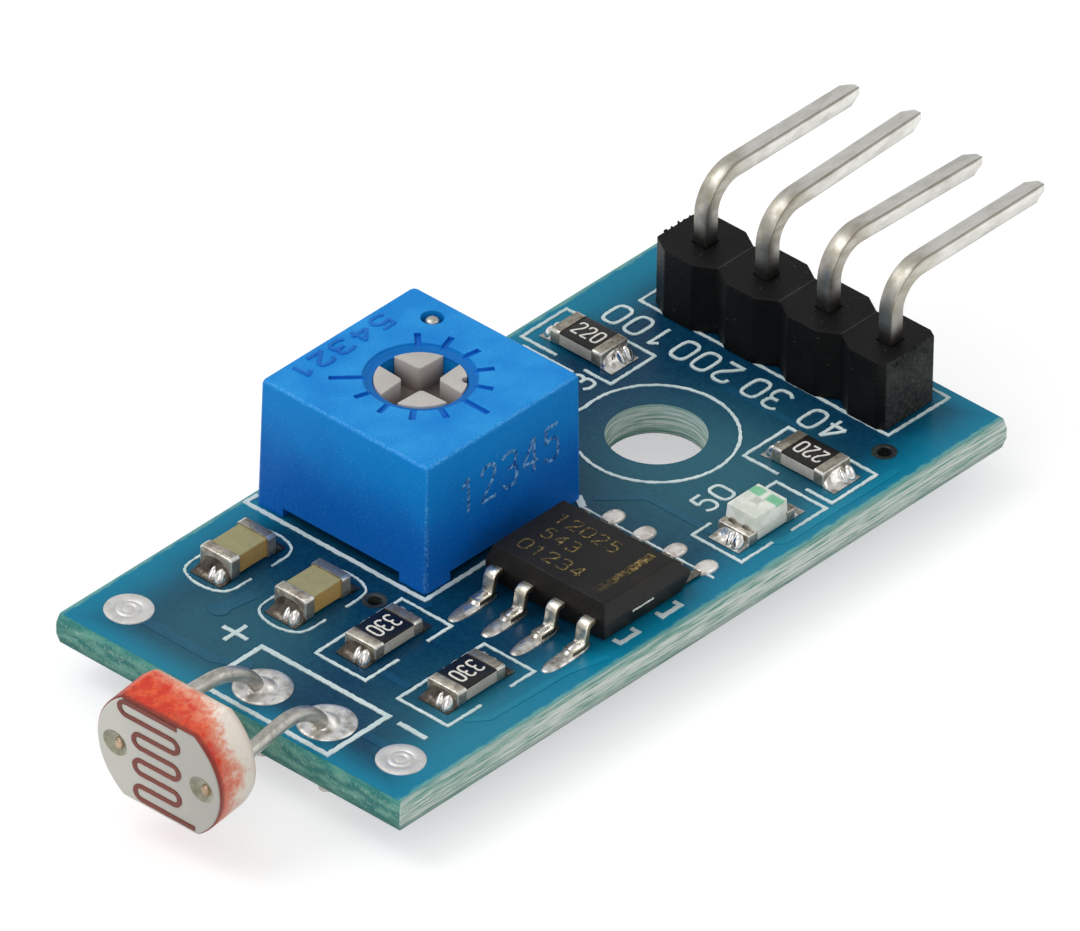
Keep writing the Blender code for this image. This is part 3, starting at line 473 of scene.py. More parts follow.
@dataclass(frozen=True)
class RootedPin(Tinned):
    """Pin plating with painted shade: darker on its upright part, near black where the wire leaves its strip
    as a painted reflection of the strip, and yellowed and darker in its bend.
    """

    root: float = 3.6
    bend: Spot = (4.6, 6.2)
    knee: Spot = (14.0, 12.6)

    def paint(self, graph: Graph) -> None:
        """Paints shade on the upright part and near the strip, and a yellowed tint in the bend that is partly
        painted shade.

        Args:
            graph: The material's graph.
        """
        clouds = graph.noise(0.3, 4, (0.4, 1, 1))
        fine = graph.noise(self.grain, 3)
        low, high = self.bend
        share = (clouds * 0.7 + fine * 0.3).step(0.4, 0.68)
        # Painted shade: the upright part is darker than the level one.
        upright = graph.z.step(high, low) * (clouds * 0.6 + 0.5)
        # The bend's yellowed tint, partly painted shade that tones down its highlight.
        warm = graph.x.step(*self.knee) * graph.z.step(low - 0.4, high - 0.8) * (clouds + 0.2)
        # Painted shade and reflection: near black where the wire leaves the black strip.
        root_shade = graph.z.step(self.root + 0.85, self.root + 0.1) * (clouds * 0.6 + 0.6)
        colour = graph.coats(
            graph.blend(share, self.colour, self.dull),
            (upright.maths("MINIMUM", 0.8), (0.30, 0.29, 0.265)),
            (warm * 0.85, (0.34, 0.305, 0.22)),
            (root_shade.maths("MINIMUM", 0.85), (0.06, 0.055, 0.05)),
        )
        graph.set(base_color=colour, metallic=1.0, roughness=share * self.haze + self.roughness)
        graph.relief(clouds * 0.5 + fine * 0.5, self.depth)


@dataclass(frozen=True)
class Circuit(Finish):
    """Glass laminate under a blue mask on both faces, with bare pale fibres at the edges and holes."""

    middle: Tint
    rim: Tint
    thickness: float
    half: Spot
    # Painted reflections: the centre, reach and share of pale spots where the mask reflects the lights.
    sheens: Sequence[Sequence[float]] = (
        (5.0, -2.2, 6.0, 0.44),
        (-11.0, 2.6, 4.6, 0.34),
        (-9.5, -5.6, 4.2, 0.26),
    )

    def paint(self, graph: Graph) -> None:
        """Masks the two faces, and lays the laminate's layers bare where it is cut.

        Args:
            graph: The material's graph.
        """
        level = abs(graph.z - self.thickness / 2)
        face = level.step(self.thickness / 2 - 0.02, self.thickness / 2 - 0.01)
        weave = graph.noise(0.25, 2, (1, 6, 1)) * 0.5 + graph.noise(0.25, 2, (6, 1, 1)) * 0.5
        graph.set(base_color=graph.blend(face, self.cut(graph), self.mask(graph, weave)))
        graph.set(roughness=(1 - face) * 0.35 + 0.3, coat_weight=face * 0.05, coat_roughness=0.08)
        graph.set(specular_ior_level=0.14)
        layers = graph.noise(1.2, 4, (1, 1, 22), 0.65)
        graph.relief((1 - face) * layers + face * weave * 0.1, 0.04)

    def mask(self, graph: Graph, weave: Signal) -> Signal:
        """Colours the mask, lighter near the board's rim, partly where less copper lies below and partly as
        painted reflection, with pale painted reflections in broad spots.

        Args:
            graph: The material's graph.
            weave: The glass cloth's threads.

        Returns:
            The colour.
        """
        to_side = self.half[1] - abs(graph.y)
        inward = ((self.half[0] - abs(graph.x)) * 1.9).maths("MINIMUM", to_side)
        margin = (inward + (graph.noise(7.0, 3) - 0.5) * 2.2).step(2.7, 0.1)
        # Painted reflection of the lights in broad pale spots.
        sheens = [
            (graph.away(x, y).step(reach, 1.0) * share, "3f7f88") for x, y, reach, share in self.sheens
        ]
        threads = (weave - 0.42).maths("MAXIMUM", 0.0) * 0.4
        ragged = graph.noise(0.5, 4, (1, 3, 1), 0.65) * 0.36
        fringe = (to_side - ragged).step(0.0, -0.14) * 0.75
        ground = graph.blend(margin, self.middle, self.rim)
        return graph.coats(ground, *sheens, (threads, "3f9fb4"), (fringe, "79b0a4"))

    def cut(self, graph: Graph) -> Signal:
        """Draws bright fibres on the two long edges and in the hole, and dull resin on the ends.

        Args:
            graph: The material's graph.

        Returns:
            The colour.
        """
        across, along = abs(graph.y) / self.half[1], abs(graph.x) / self.half[0]
        opened = (across - along).step(0.0, 0.004).maths("MAXIMUM", along.step(0.9, 0.85))
        strands = graph.noise(1.2, 3, (1, 1, 22), 0.6)
        # Painted highlight: bright glints along the fibres.
        shine = (graph.noise(4.6, 6, (1, 1, 60), 0.6) * 0.6 + strands * 0.4).step(0.42, 0.58)
        bright = graph.blend(strands.step(0.3, 0.65), "74a698", "b4d0c4")
        bright = graph.blend(shine * 0.85, bright, "f2f7f0")
        dull = graph.blend(graph.noise(0.8, 4, (1, 1, 3)).step(0.35, 0.65), "3c7f7c", "70a898")
        dull = graph.blend(graph.noise(0.1, 3).step(0.5, 0.75) * 0.3, dull, "cfe0cf")
        skin = graph.z.step(self.thickness - 0.32, self.thickness - 0.03) * 0.4
        foot = graph.z.step(0.3, 0.05) * 0.45
        return graph.coats(dull, (opened, bright), (skin, "2f9a94"), (foot, "3f6f66"))


@dataclass(frozen=True)
class Lacquered(Finish):
    """The light sensor's ceramic: a clear-coated grey face with painted light and shade across it, a brown
    rim and a patchy red side.
    """

    face_point: Vector
    pose: Matrix

    def paint(self, graph: Graph) -> None:
        """Zones the colour by depth behind the face, and the side's red by height and turn.

        Args:
            graph: The material's graph.
        """
        axes = [Vector(self.pose.col[index][:3]) for index in range(3)]
        depth, turn, height = (graph.along(axis) - self.face_point.dot(axis) for axis in axes)
        patches = graph.noise(0.9, 6, rough=0.62)
        streaks = graph.noise(0.16, 4, rough=0.6)
        stain, streak = patches - 0.5, streaks - 0.5
        fading = depth * 0.6 - turn * 0.2 - height * 0.02 + stain * 1.3 + streak * 0.7 - 0.1
        glow = graph.noise(0.45, 5, rough=0.6).step(0.42, 0.6)
        ember = (streaks * 0.6 + patches * 0.4).step(0.48, 0.6) * fading.step(0.7, 0.2)
        char = (turn * 0.4 - depth * 0.9 + streak * 2.2 + stain * 1.2).step(0.05, 0.7)
        rust = (-height * 0.55 - turn * 0.3 + stain * 1.4 - 1.15).step(0.0, 0.6)
        specks = graph.cells(0.2).step(0.16, 0.06) * graph.noise(0.6, 2).step(0.5, 0.6)
        side = graph.coats(
            graph.blend(glow * 0.8, "d8300e", "f0602c"),
            (fading.step(0.25, 0.85), "ea9678"),
            (fading.step(0.66, 1.1), "f7ede0"),
            (depth.step(1.45, 1.85) * 0.6, "dfc4b4"),
            (ember * 0.6, "a8200e"),
            (char * 0.35, "7a2414"),
            (rust * 0.8, "d98058"),
            (specks * 0.4, "7a2a14"),
            (depth.step(0.8, 0.25) * (patches + 0.1) * 0.4, "b82410"),
            (depth.step(0.26, 0.1) * 0.8, "6a1f10"),
        )
        # Painted light and shade: the grey face is lighter on one side and darker on the other.
        shade = (turn + (graph.noise(1.4, 3) - 0.5) * 2.0).step(2.2, -2.2)
        front = depth.step(0.05, 0.02)
        graph.set(base_color=graph.blend(front, side, graph.blend(shade, "cecec4", "b2afa6")))
        graph.set(roughness=0.52 - front * 0.3, coat_weight=front * 0.6 + 0.12, coat_roughness=0.08)
        graph.relief((1 - front) * (patches * 0.6 + streaks * 0.4), 0.07)


@dataclass(frozen=True)
class Resin(Finish):
    """Milky lamp resin, which may have green tape stripes at one end and its die showing."""

    stripe: Spot
    die: Spot
    top: float
    striped: bool

    def paint(self, graph: Graph) -> None:
        """Clouds the resin, and lays the uneven stripes across it.

        Args:
            graph: The material's graph.
        """
        clouds = graph.noise(0.5, 3)
        colour = graph.blend(clouds.step(0.35, 0.65), "d6dccf", "eef0e8")
        if self.striped:
            x, y = self.die
            start, end = self.stripe
            wander = (clouds - 0.5) * 0.12
            tape = (graph.x + wander).step(start, start + 0.06) * (graph.x + wander).step(end, end - 0.06)
            gap = (abs(graph.y - y) + wander).step(0.04, 0.16)
            crown = graph.z.step(self.top - 0.12, self.top - 0.04)
            green = graph.blend(graph.noise(0.3, 3), "3fae7a", "8fd6a8")
            away = abs(graph.x - x).maths("MAXIMUM", abs(graph.y - y)) + (clouds - 0.5) * 0.2
            die = away.step(0.24, 0.12) * 0.5
            colour = graph.coats(colour, (tape * gap * crown * 0.9, green), (die, "8d9c84"))
        graph.set(base_color=colour, roughness=0.28, subsurface_weight=0.35)
        graph.set(subsurface_scale=0.3 * MM, subsurface_radius=(1.0, 1.0, 1.0))
        graph.set(coat_weight=0.3, coat_roughness=0.1)
        graph.relief(graph.noise(0.12, 3), 0.01)


@dataclass(frozen=True)
class Capacitor(Finish):
    """Fired tan ceramic, more golden on its sides, with the grain of a cut block."""

    top: float

    def paint(self, graph: Graph) -> None:
        """Shades the block by height and grains it.

        Args:
            graph: The material's graph.
        """
        layers = graph.noise(0.12, 3, (1, 1, 5))
        side = graph.blend(layers, "b08a45", "cfae68")
        top = graph.blend(graph.noise(0.3, 3), "918c60", "aaa274")
        graph.set(base_color=graph.blend(graph.z.step(self.top - 0.06, self.top), side, top))
        graph.set(roughness=0.42)
        graph.relief(layers, 0.008)


@dataclass(frozen=True)
class Paper(Finish):
    """The studio's floor, which a camera or a reflection sees a little lighter than it is lit."""

    lift: float

    def paint(self, graph: Graph) -> None:
        """Adds light to the floor for the camera and for gloss alone.

        Args:
            graph: The material's graph.
        """
        seen = graph.node("ShaderNodeLightPath", output="Is Camera Ray")
        seen = seen.maths("MAXIMUM", graph.node("ShaderNodeLightPath", output="Is Glossy Ray"))
        graph.set(base_color=graph.blend(graph.noise(0.4, 4), "c9c9c9", "cecece"), roughness=0.9)
        graph.set(emission_color=graph.blend(seen, "000000", (self.lift,) * 3), emission_strength=1.0)


BOARD = (27.3, 14.0, 1.1)
BOARD_TOP = BOARD[2]
HALF_BOARD = (BOARD[0] / 2, BOARD[1] / 2)
MASK = Circuit("mask_over_laminate", "solder_mask", "023453", "077d9e", BOARD_TOP, HALF_BOARD)
COPPER = Circuit("masked_copper", "solder_mask", "063d63", "0e86a5", 0.1, HALF_BOARD)
INK = Moulded("white_print", "milky_resin", "bfd3d4", "e6f2f2", 0.6, 0.08, 0.01)
# Near black: painted shade inside the open vias, and the header strip's real dark seams.
VIA_SHADE_AND_SEAM = Moulded("via_barrel", "black_plastic", "121a1b", "3d4440", 0.45, 0.1, 0.01)
STRIP = Moulded("header_plastic", "black_plastic", "050506", "10100f", 0.5, 0.09, 0.02, 0.26, gloss=0.18)
SAWN = Moulded("sawn_plastic", "black_plastic", "0a0d0d", "3f4441", 0.75, 0.12, 0.12, 0.4, gloss=0.25)
# Darker copies of the trimmer's blue: painted shade on the raised numerals and in the ticks' floors.
BLUE = Moulded("raised_numerals", "blue_plastic", "0a66c0", "1a7cd6", 0.5, 0.05, 0.008, gloss=0.2)
GROOVE = Moulded("scale_groove", "blue_plastic", "0c6ac8", "1c7eda", 0.6, 0.05, 0.008, gloss=0.15)
ETCH = Worn("scratched_marks", "blue_plastic", "0b4c98", "86c0ee", (0.42, 0.5), 0.07)
EPOXY = Moulded("package_epoxy_grain", "package_epoxy", "0b0a08", "1c1813", 0.5, 0.05, 0.014, 0.1, gloss=0.32)
GOLD = Worn("faint_gold_print", "package_epoxy", "4e4430", "94804f", (0.36, 0.56), 0.09)
GLAZE = Moulded("black_glaze", "resistor_glaze", "0a0908", "141210", 0.34, 0.06, 0.004, coat=0.1, gloss=0.35)
CHALK = Moulded("resistor_print", "milky_resin", "d8d5cc", "efece4", 0.6, 0.06, 0.006)
ALUMINA = Moulded("white_alumina", "white_ceramic", "a9a69c", "c6c2b8", 0.55, 0.06, 0.01)
FILM = Moulded("sensor_film", "brown_film", "6e2a1e", "843626", 0.45, 0.05, 0.004)
WELL = Moulded("sensor_glue", "milky_resin", "77775f", "a8a58c", 0.22, 0.2, 0.01, coat=0.6)
PIN = RootedPin(
    "pin_plating", "tinned_metal", (0.84, 0.83, 0.79), (0.68, 0.67, 0.62), 0.38, 0.14, 0.05, 0.003
)
LEAD = Tinned("lead_plating", "tinned_metal", (0.95, 0.92, 0.83), (0.62, 0.57, 0.46), 0.22, 0.2, 0.06, 0.006)
WIRE = Tinned(
    "wire_plating", "tinned_metal", (0.62, 0.60, 0.55), (0.40, 0.385, 0.345), 0.36, 0.14, 0.07, 0.002
)
CAP = Tinned(
    "end_cap_plating", "solder", (0.48, 0.44, 0.37), (0.22, 0.19, 0.15), 0.34, 0.24, 0.12, 0.05, metal=0.8
)
# Painted highlight: the caps' bevelled edges are painted pale.
CAP_EDGE_HIGHLIGHT = Tinned("end_cap_rim", "solder", (0.84, 0.82, 0.76), (0.56, 0.53, 0.46), 0.3, 0.2, 0.07, 0.02, metal=0.8)
# Painted shade and reflection: fillets painted near black.
PAINTED_FILLET_SHADE = Tinned(
    "hollow_fillet", "solder", (0.13, 0.11, 0.09), (0.035, 0.028, 0.022), 0.2, 0.2, 0.3, 0.05, metal=0.8
)
SOLDER = Tinned("bright_solder", "solder", (0.86, 0.85, 0.82), (0.52, 0.50, 0.45), 0.17, 0.2, 0.14, 0.014)
# Painted shade on the leads' flat sides.
LEAD_SIDE_SHADE = Tinned(
    "sheared_side", "tinned_metal", (0.36, 0.30, 0.20), (0.20, 0.165, 0.11), 0.4, 0.2, 0.06, 0.006
)
NECK = Tinned("shaded_lead", "tinned_metal", (0.22, 0.21, 0.18), (0.12, 0.11, 0.10), 0.4, 0.2, 0.06, 0.006)
JOINT = Tinned(
    "joint_solder", "solder", (0.94, 0.92, 0.88), (0.42, 0.40, 0.36), 0.3, 0.24, 0.3, 0.05, metal=0.8
)
FILLET = Tinned(
    "fillet_solder", "solder", (0.80, 0.78, 0.74), (0.28, 0.26, 0.22), 0.2, 0.34, 0.2, 0.05, metal=0.9
)
BEAD = Tinned("solder_bead", "solder", (0.92, 0.91, 0.89), (0.80, 0.79, 0.76), 0.12, 0.1, 0.1, 0.006)
# Painted shade: a darker copy of the pin plating on the rounded edge that faces -Y.
ARRIS = RootedPin("pin_arris", "tinned_metal", (0.46, 0.44, 0.38), (0.34, 0.32, 0.27), 0.4, 0.14, 0.05, 0.003)
BLOB = Tinned("far_joint", "solder", (0.92, 0.88, 0.84), (0.60, 0.54, 0.48), 0.22, 0.2, 0.16, 0.03, metal=0.5)
PAD = Tinned("tinned_pad", "solder", (0.90, 0.89, 0.87), (0.70, 0.69, 0.66), 0.45, 0.16, 0.06, 0.012)
HEAD = Tinned("lead_head", "spring_bronze", (0.52, 0.38, 0.26), (0.36, 0.27, 0.18), 0.34, 0.2, 0.08, 0.02)
BRONZE = Tinned("wiper_bronze", "spring_bronze", (0.60, 0.42, 0.20), (0.45, 0.30, 0.14), 0.28, 0.15)


class Digit(Enum):
    """The strokes of a plain numeral, in a box one wide and 1.5 high."""

    ZERO = (
        (
            *((0.5, 0), (0.05, 0.1), (0, 0.75), (0.05, 1.4), (0.5, 1.5)),
            *((0.95, 1.4), (1, 0.75), (0.95, 0.1), (0.5, 0)),
        ),
    )
    ONE = (((0.55, 1.5), (0.55, 0)), ((0.15, 1.15), (0.55, 1.47)))
    TWO = (((0, 1.15), (0.1, 1.5), (0.9, 1.5), (0.95, 0.95), (0.45, 0.5), (0.05, 0)), ((0, 0), (1, 0)))
    THREE = (
        ((0, 1.35), (0.3, 1.55), (0.95, 1.45), (0.9, 0.8), (0.4, 0.8)),
        ((0.45, 0.8), (1, 0.8), (1, 0.05), (0.35, -0.05), (0, 0.2)),
    )
    FOUR = (((0.75, 0), (0.75, 1.5)), ((0.72, 1.48), (0.02, 0.47)), ((0, 0.45), (1, 0.45)))
    FIVE = (
        ((0.9, 1.5), (0.1, 1.5)),
        ((0.12, 1.5), (0.08, 0.85)),
        ((0.08, 0.85), (0.6, 1.0), (1, 0.7), (0.95, 0.05), (0.4, -0.05), (0, 0.2)),
    )


NUMERALS = dict(zip("012345", Digit))


def rounded(line: Sequence[Spot]) -> list[Vector]:
    """Cuts a line's corners twice, keeping its ends.

    Args:
        line: The line's points.

    Returns:
        The smoother line.
    """
    points = [Vector(point) for point in line]
    for _ in range(2):
        cut = [points[0]]
        for start, end in zip(points, points[1:]):
            cut += [start.lerp(end, 0.25), start.lerp(end, 0.75)]
        points = [*cut, points[-1]]
    return points[:1] + [point for before, point in zip(points, points[1:]) if (point - before).length > 1e-6]


def arc(centre: Spot, radius: float, start: float, end: float, steps: int) -> list[Spot]:
    """Returns the points of an arc between two angles in degrees."""
    turns = [math.radians(start + (end - start) * step / steps) for step in range(steps + 1)]
    return [(centre[0] + radius * math.cos(turn), centre[1] + radius * math.sin(turn)) for turn in turns]


def bent(corners: Sequence[Vector], radius: float, steps: int) -> list[Vector]:
    """Replaces each inner corner of a path by an arc.

    Args:
        corners: The path's corners.
        radius: The arcs' radius.
        steps: The parts of each arc.

    Returns:
        The path's points.
    """
    path = [corners[0]]
    for before, corner, after in zip(corners, corners[1:], corners[2:]):
        back = (before - corner).normalized()
        onward = (after - corner).normalized()
        half = back.angle(onward) / 2
        centre = corner + (back + onward).normalized() * radius / math.sin(half)
        start, end = (corner + way * radius / math.tan(half) - centre for way in (back, onward))
        path += [centre + start.slerp(end, step / steps) * radius for step in range(steps + 1)]
    return [*path, corners[-1]]


class Form:
    """A mesh in the making, in millimetres, drawn in a place of its own in the part's frame."""

    def __init__(self, place: Matrix | None = None, seed: int = 7) -> None:
        """Starts an empty form.

        Args:
            place: Where its shapes are drawn.
            seed: The start of its random draws.
        """
        self.mesh = bmesh.new()
        self.place = place or Matrix.Identity(4)
        self.chance = random.Random(seed)
        self.strokes = 0

    @classmethod
    def of_node(cls, node: bpy.types.Object) -> "Form":
        """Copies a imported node's shape, with the triangles of each flat face joined.

        Args:
            node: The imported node.

        Returns:
            The copy.
        """
        form = cls()
        mesh = form.mesh
        mesh.from_mesh(node.data)
        bmesh.ops.scale(mesh, vec=(1 / MM,) * 3, verts=mesh.verts)
        bmesh.ops.remove_doubles(mesh, verts=mesh.verts, dist=WELD)
        bmesh.ops.dissolve_limit(mesh, angle_limit=FLAT, verts=mesh.verts, edges=mesh.edges)
        return form

    def loft(
        self,
        rings: Sequence[Sequence[Sequence[float]]],
        slot: int = 0,
        capped: bool = True,
        looped: bool = False,
    ) -> None:
        """Joins rings of points by faces.

        Args:
            rings: The rings, each with as many points.
            slot: The material slot of the faces.
            capped: Whether the end rings are filled.
            looped: Whether the last ring joins the first.
        """
        rows = [[self.mesh.verts.new(self.place @ Vector(point)) for point in ring] for ring in rings]
        pairs = list(zip(rows, rows[1:])) + ([(rows[-1], rows[0])] if looped else [])
        faces = []
        for lower, upper in pairs:
            for index, vertex in enumerate(lower):
                after = (index + 1) % len(lower)
                faces.append(self.mesh.faces.new((vertex, lower[after], upper[after], upper[index])))
        if capped and not looped:
            faces += [self.mesh.faces.new(rows[0][::-1]), self.mesh.faces.new(rows[-1])]
        for face in faces:
            face.material_index = slot

    def turned(
        self, profile: Iterable[Spot], centre: Spot = (0, 0), slot: int = 0, segments: int = 40
    ) -> None:
        """Turns a profile round an upright axis.

        Args:
            profile: Its (radius, height) points.
            centre: The axis.
            slot: The material slot.
            segments: The sides of each ring.
        """
        turns = [math.tau * index / segments for index in range(segments)]
        x, y = centre
        rings = [
            [(x + radius * math.cos(turn), y + radius * math.sin(turn), height) for turn in turns]
            for radius, height in profile
        ]
        self.loft(rings, slot)

    def dome(
        self,
        centre: Spot,
        half: Spot,
        base: float,
        height: float,
        slot: int = 0,
        lean: Spot = (0, 0),
        power: float = 2.0,
        squareness: float = 2.0,
    ) -> None:
        """Adds a rounded mound on an oval foot.

        Args:
            centre: The foot's centre.
            half: The foot's half length along X and Y.
            base: The height of the foot.
            height: The mound's rise.
            slot: The material slot.
            lean: How far the crest stands off the centre.
            power: Over 2 for a fuller side, under 2 for a hollow one.
            squareness: Over 2 for a foot with fuller corners than an oval.
        """
        levels, segments = 8, 28
        shares = [(1.0, -0.01)]
        for level in range(levels):
            turn = math.pi / 2 * level / levels
            shares.append((math.cos(turn) ** (2 / power), math.sin(turn) ** (2 / power)))
        shares.append((0.04, 1.0))
        foot = []
        for index in range(segments):
            turn = math.tau * index / segments
            waves = (math.cos(turn), math.sin(turn))
            foot.append([math.copysign(abs(wave) ** (2 / squareness), wave) for wave in waves])
        rings = []
        for spread, rise in shares:
            x, y = (middle + way * max(rise, 0) for middle, way in zip(centre, lean))
            level = base + height * rise
            rings.append([(x + half[0] * spread * a, y + half[1] * spread * b, level) for a, b in foot])
        self.loft(rings, slot)

    def tube(
        self,
        path: Sequence[Vector],
        section: Sequence[Spot],
        scales: Sequence[Spot] | None = None,
    ) -> None:
        """Sweeps a section along a path, with its across axis kept level along Y.

        Args:
            path: The centre line.
            section: The (across, up) points of the section.
            scales: The section's (across, up) scale at each point.
        """
        side = Vector((0, 1, 0))
        rings = []
        for index, point in enumerate(path):
            before = path[max(index - 1, 0)]
            after = path[min(index + 1, len(path) - 1)]
            along = ((point - before).normalized() + (after - point).normalized()).normalized()
            across = (side - along * along.dot(side)).normalized()
            up = along.cross(across)
            wide, high = scales[index] if scales else (1, 1)
            rings.append([point + across * a * wide + up * b * high for a, b in section])
        self.loft(rings)

    def ribbon(
        self,
        line: Sequence[Sequence[float]],
        width: float,
        bottom: float,
        top: float,
        wobble: float = 0.0,
        closed: bool = False,
        slot: int = 0,
        pitch: float = 0.12,
    ) -> None:
        """Lays a flat stroke along a line, a hair higher than the stroke before it.

        Args:
            line: The stroke's (x, y) points.
            width: Its width.
            bottom: The height of its underside.
            top: The height of its upper side.
            wobble: How far each edge strays, as a printed edge does.
            closed: Whether it runs back to its start.
            slot: The material slot.
            pitch: The longest run between two points.
        """
        self.strokes += 1
        top += STROKE_LIFT * (self.strokes % STROKE_CYCLE)
        points = [Vector(point[:2]) for point in line]
        ends = points[1:] + ([points[0]] if closed else [])
        stations = []
        for start, end in zip(points, ends):
            parts = max(1, math.ceil((end - start).length / pitch))
            stations += [start.lerp(end, part / parts) for part in range(parts)]
        if not closed:
            stations.append(points[-1])
        rings = []
        for index, point in enumerate(stations):
            last = index == len(stations) - 1
            before = stations[index - 1] if index or closed else point - (stations[1] - point)
            after = stations[(index + 1) % len(stations)] if closed or not last else point + (point - before)
            arriving = (point - before).normalized()
            along = (arriving + (after - point).normalized()).normalized()
            across = Vector((-along.y, along.x)) / max(0.5, arriving.dot(along))
            left = point + across * (width / 2 + self.chance.uniform(-wobble, wobble))
            right = point - across * (width / 2 + self.chance.uniform(-wobble, wobble))
            rings.append([(*left, bottom), (*right, bottom), (*right, top), (*left, top)])
        self.loft(rings, slot, not closed, closed)

    def write(
        self,
        text: str,
        centre: Spot,
        turn: float,
        height: float,
        width: float,
        levels: Spot,
        slot: int = 0,
        spread: float = 1.0,
    ) -> None:
        """Writes plain numerals.

        Args:
            text: The numerals.
            centre: The middle of the whole text.
            turn: The reading direction in degrees from +X.
            height: The numerals' height.
            width: The strokes' width.
            levels: The strokes' underside and upper side.
            slot: The material slot.
            spread: How wide the numerals are for their height.
        """
        along = Vector((math.cos(math.radians(turn)), math.sin(math.radians(turn))))
        up = Vector((-along.y, along.x))
        unit = height / NUMERAL_HEIGHT
        pace = unit * spread
        length = NUMERAL_PITCH * len(text) - (NUMERAL_PITCH - 1)
        start = Vector(centre) - along * pace * length / 2 - up * height / 2
        for place, letter in enumerate(text):
            corner = start + along * place * pace * NUMERAL_PITCH
            for stroke in NUMERALS[letter].value:
                line = [corner + along * x * pace + up * y * unit for x, y in rounded(stroke)]
                self.ribbon(line, width, *levels, width * 0.08, slot=slot, pitch=height / 10)

    def mark(self, slot: int, chosen: Callable[[bmesh.types.BMFace], bool]) -> None:
        """Gives some faces a material slot.

        Args:
            slot: The slot.
            chosen: Whether a face is one of them.
        """
        self.mesh.normal_update()
        for face in self.mesh.faces:
            if chosen(face):
                face.material_index = slot

    def bevel(self, edges: Sequence[bmesh.types.BMEdge], width: float, segments: int) -> None:
        """Rounds some edges."""
        settings = {"offset_type": "OFFSET", "profile": 0.5, "affect": "EDGES", "clamp_overlap": True}
        bmesh.ops.bevel(self.mesh, geom=edges, offset=width, segments=segments, **settings)

    def chamfer(self, width: float, segments: int = 2) -> None:
        """Rounds every sharp edge to a width, with a number of segments."""
        edges = [edge for edge in self.mesh.edges if edge.is_manifold and edge.calc_face_angle() > SHARP]
        self.bevel(edges, width, segments)

    def round_petals(self, middle: Vector, reach: float, radius: float) -> None:
        """Rounds the upright edges that stand near a centre line.

        Args:
            middle: A point of the centre line.
            reach: How near the edges are.
            radius: The size of the rounding.
        """
        chosen = []
        for edge in self.mesh.edges:
            first, second = (vertex.co for vertex in edge.verts)
            run = second - first
            away = ((first + second) / 2 - middle).to_2d().length
            upright = abs(run.z) > 0.9 * run.length
            if upright and away < reach and edge.is_manifold and edge.calc_face_angle() > PETAL_SHARP:
                chosen.append(edge)
        self.bevel(chosen, radius, 4)

    def to_mesh(self, name: str) -> bpy.types.Mesh:
        """Turns the form into a mesh in metres and uses it up.

        Args:
            name: The mesh's name.

        Returns:
            The mesh.
        """
        bmesh.ops.recalc_face_normals(self.mesh, faces=self.mesh.faces)
        bmesh.ops.scale(self.mesh, vec=(MM,) * 3, verts=self.mesh.verts)
        mesh = bpy.data.meshes.new(name)
        self.mesh.to_mesh(mesh)
        self.mesh.free()
        return mesh

    def piece(
        self,
        name: str,
        finishes: Sequence[Finish],
        replaces: Sequence[str] = (),
        body: str = "module",
        smooth: float = 40.0,
        even: bool = False,
    ) -> bpy.types.Object:
        """Turns the form into a piece that rides on a body.

        Args:
            name: The piece's name.
            finishes: The finish of each material slot.
            replaces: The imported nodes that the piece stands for.
            body: The body it moves with.
            smooth: The angle in degrees over which an edge stays sharp.
            even: Whether large faces are shaded flat and only their rounded edges smoothly.

        Returns:
            The piece.
        """
        mesh = self.to_mesh(name)
        for finish in finishes:
            mesh.materials.append(finish.material())
        mesh.shade_smooth()
        mesh.set_sharp_from_angle(angle=math.radians(smooth))
        piece = linked(name, mesh)
        if even:
            even_shading(piece)
        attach(piece, body)
        if replaces:
            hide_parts(*replaces)
        LOG.info("%s: %d faces", name, len(mesh.polygons))
        return piece


def linked(name: str, data: bpy.types.ID) -> bpy.types.Object:
    """Puts a new object into the scene.

    Args:
        name: The object's name.
        data: Its mesh, light or camera.

    Returns:
        The object.
    """
    thing = bpy.data.objects.new(name, data)
    bpy.context.scene.collection.objects.link(thing)
    return thing


def even_shading(piece: bpy.types.Object) -> None:
    """Lets the larger faces set the normals, so that flat walls shade flat up to their rounded edges."""
    piece.modifiers.new("even_shading", "WEIGHTED_NORMAL").keep_sharp = True


def box(node: str) -> tuple[Vector, Vector]:
    """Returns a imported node's lowest and highest corner in millimetres."""
    low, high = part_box(node)
    return low / MM, high / MM


def square(width: float, height: float, corner: float) -> list[Spot]:
    """Draws a rectangular section with rounded corners.

    Args:
        width: Its width.
        height: Its height.
        corner: The corners' radius.

    Returns:
        The section's points.
    """
    points = []
    for quarter, (x, y) in enumerate(((1, 1), (-1, 1), (-1, -1), (1, -1))):
        for step in (0, 0.5, 1):
            turn = math.pi / 2 * (quarter + step)
            across = x * (width / 2 - corner) + corner * math.cos(turn)
            points.append((across, y * (height / 2 - corner) + corner * math.sin(turn)))
    return points


def upright(centre: Vector, turn: float = 0.0) -> Matrix:
    """Returns a place over a centre, turned about Z by an angle."""
    return Matrix.Translation((centre.x, centre.y, 0)) @ Matrix.Rotation(turn, 4, "Z")


def circle(diameter: float) -> list[Spot]:
    """Returns a round section."""
    return arc((0, 0), diameter / 2, 0, 360, 24)[:-1]


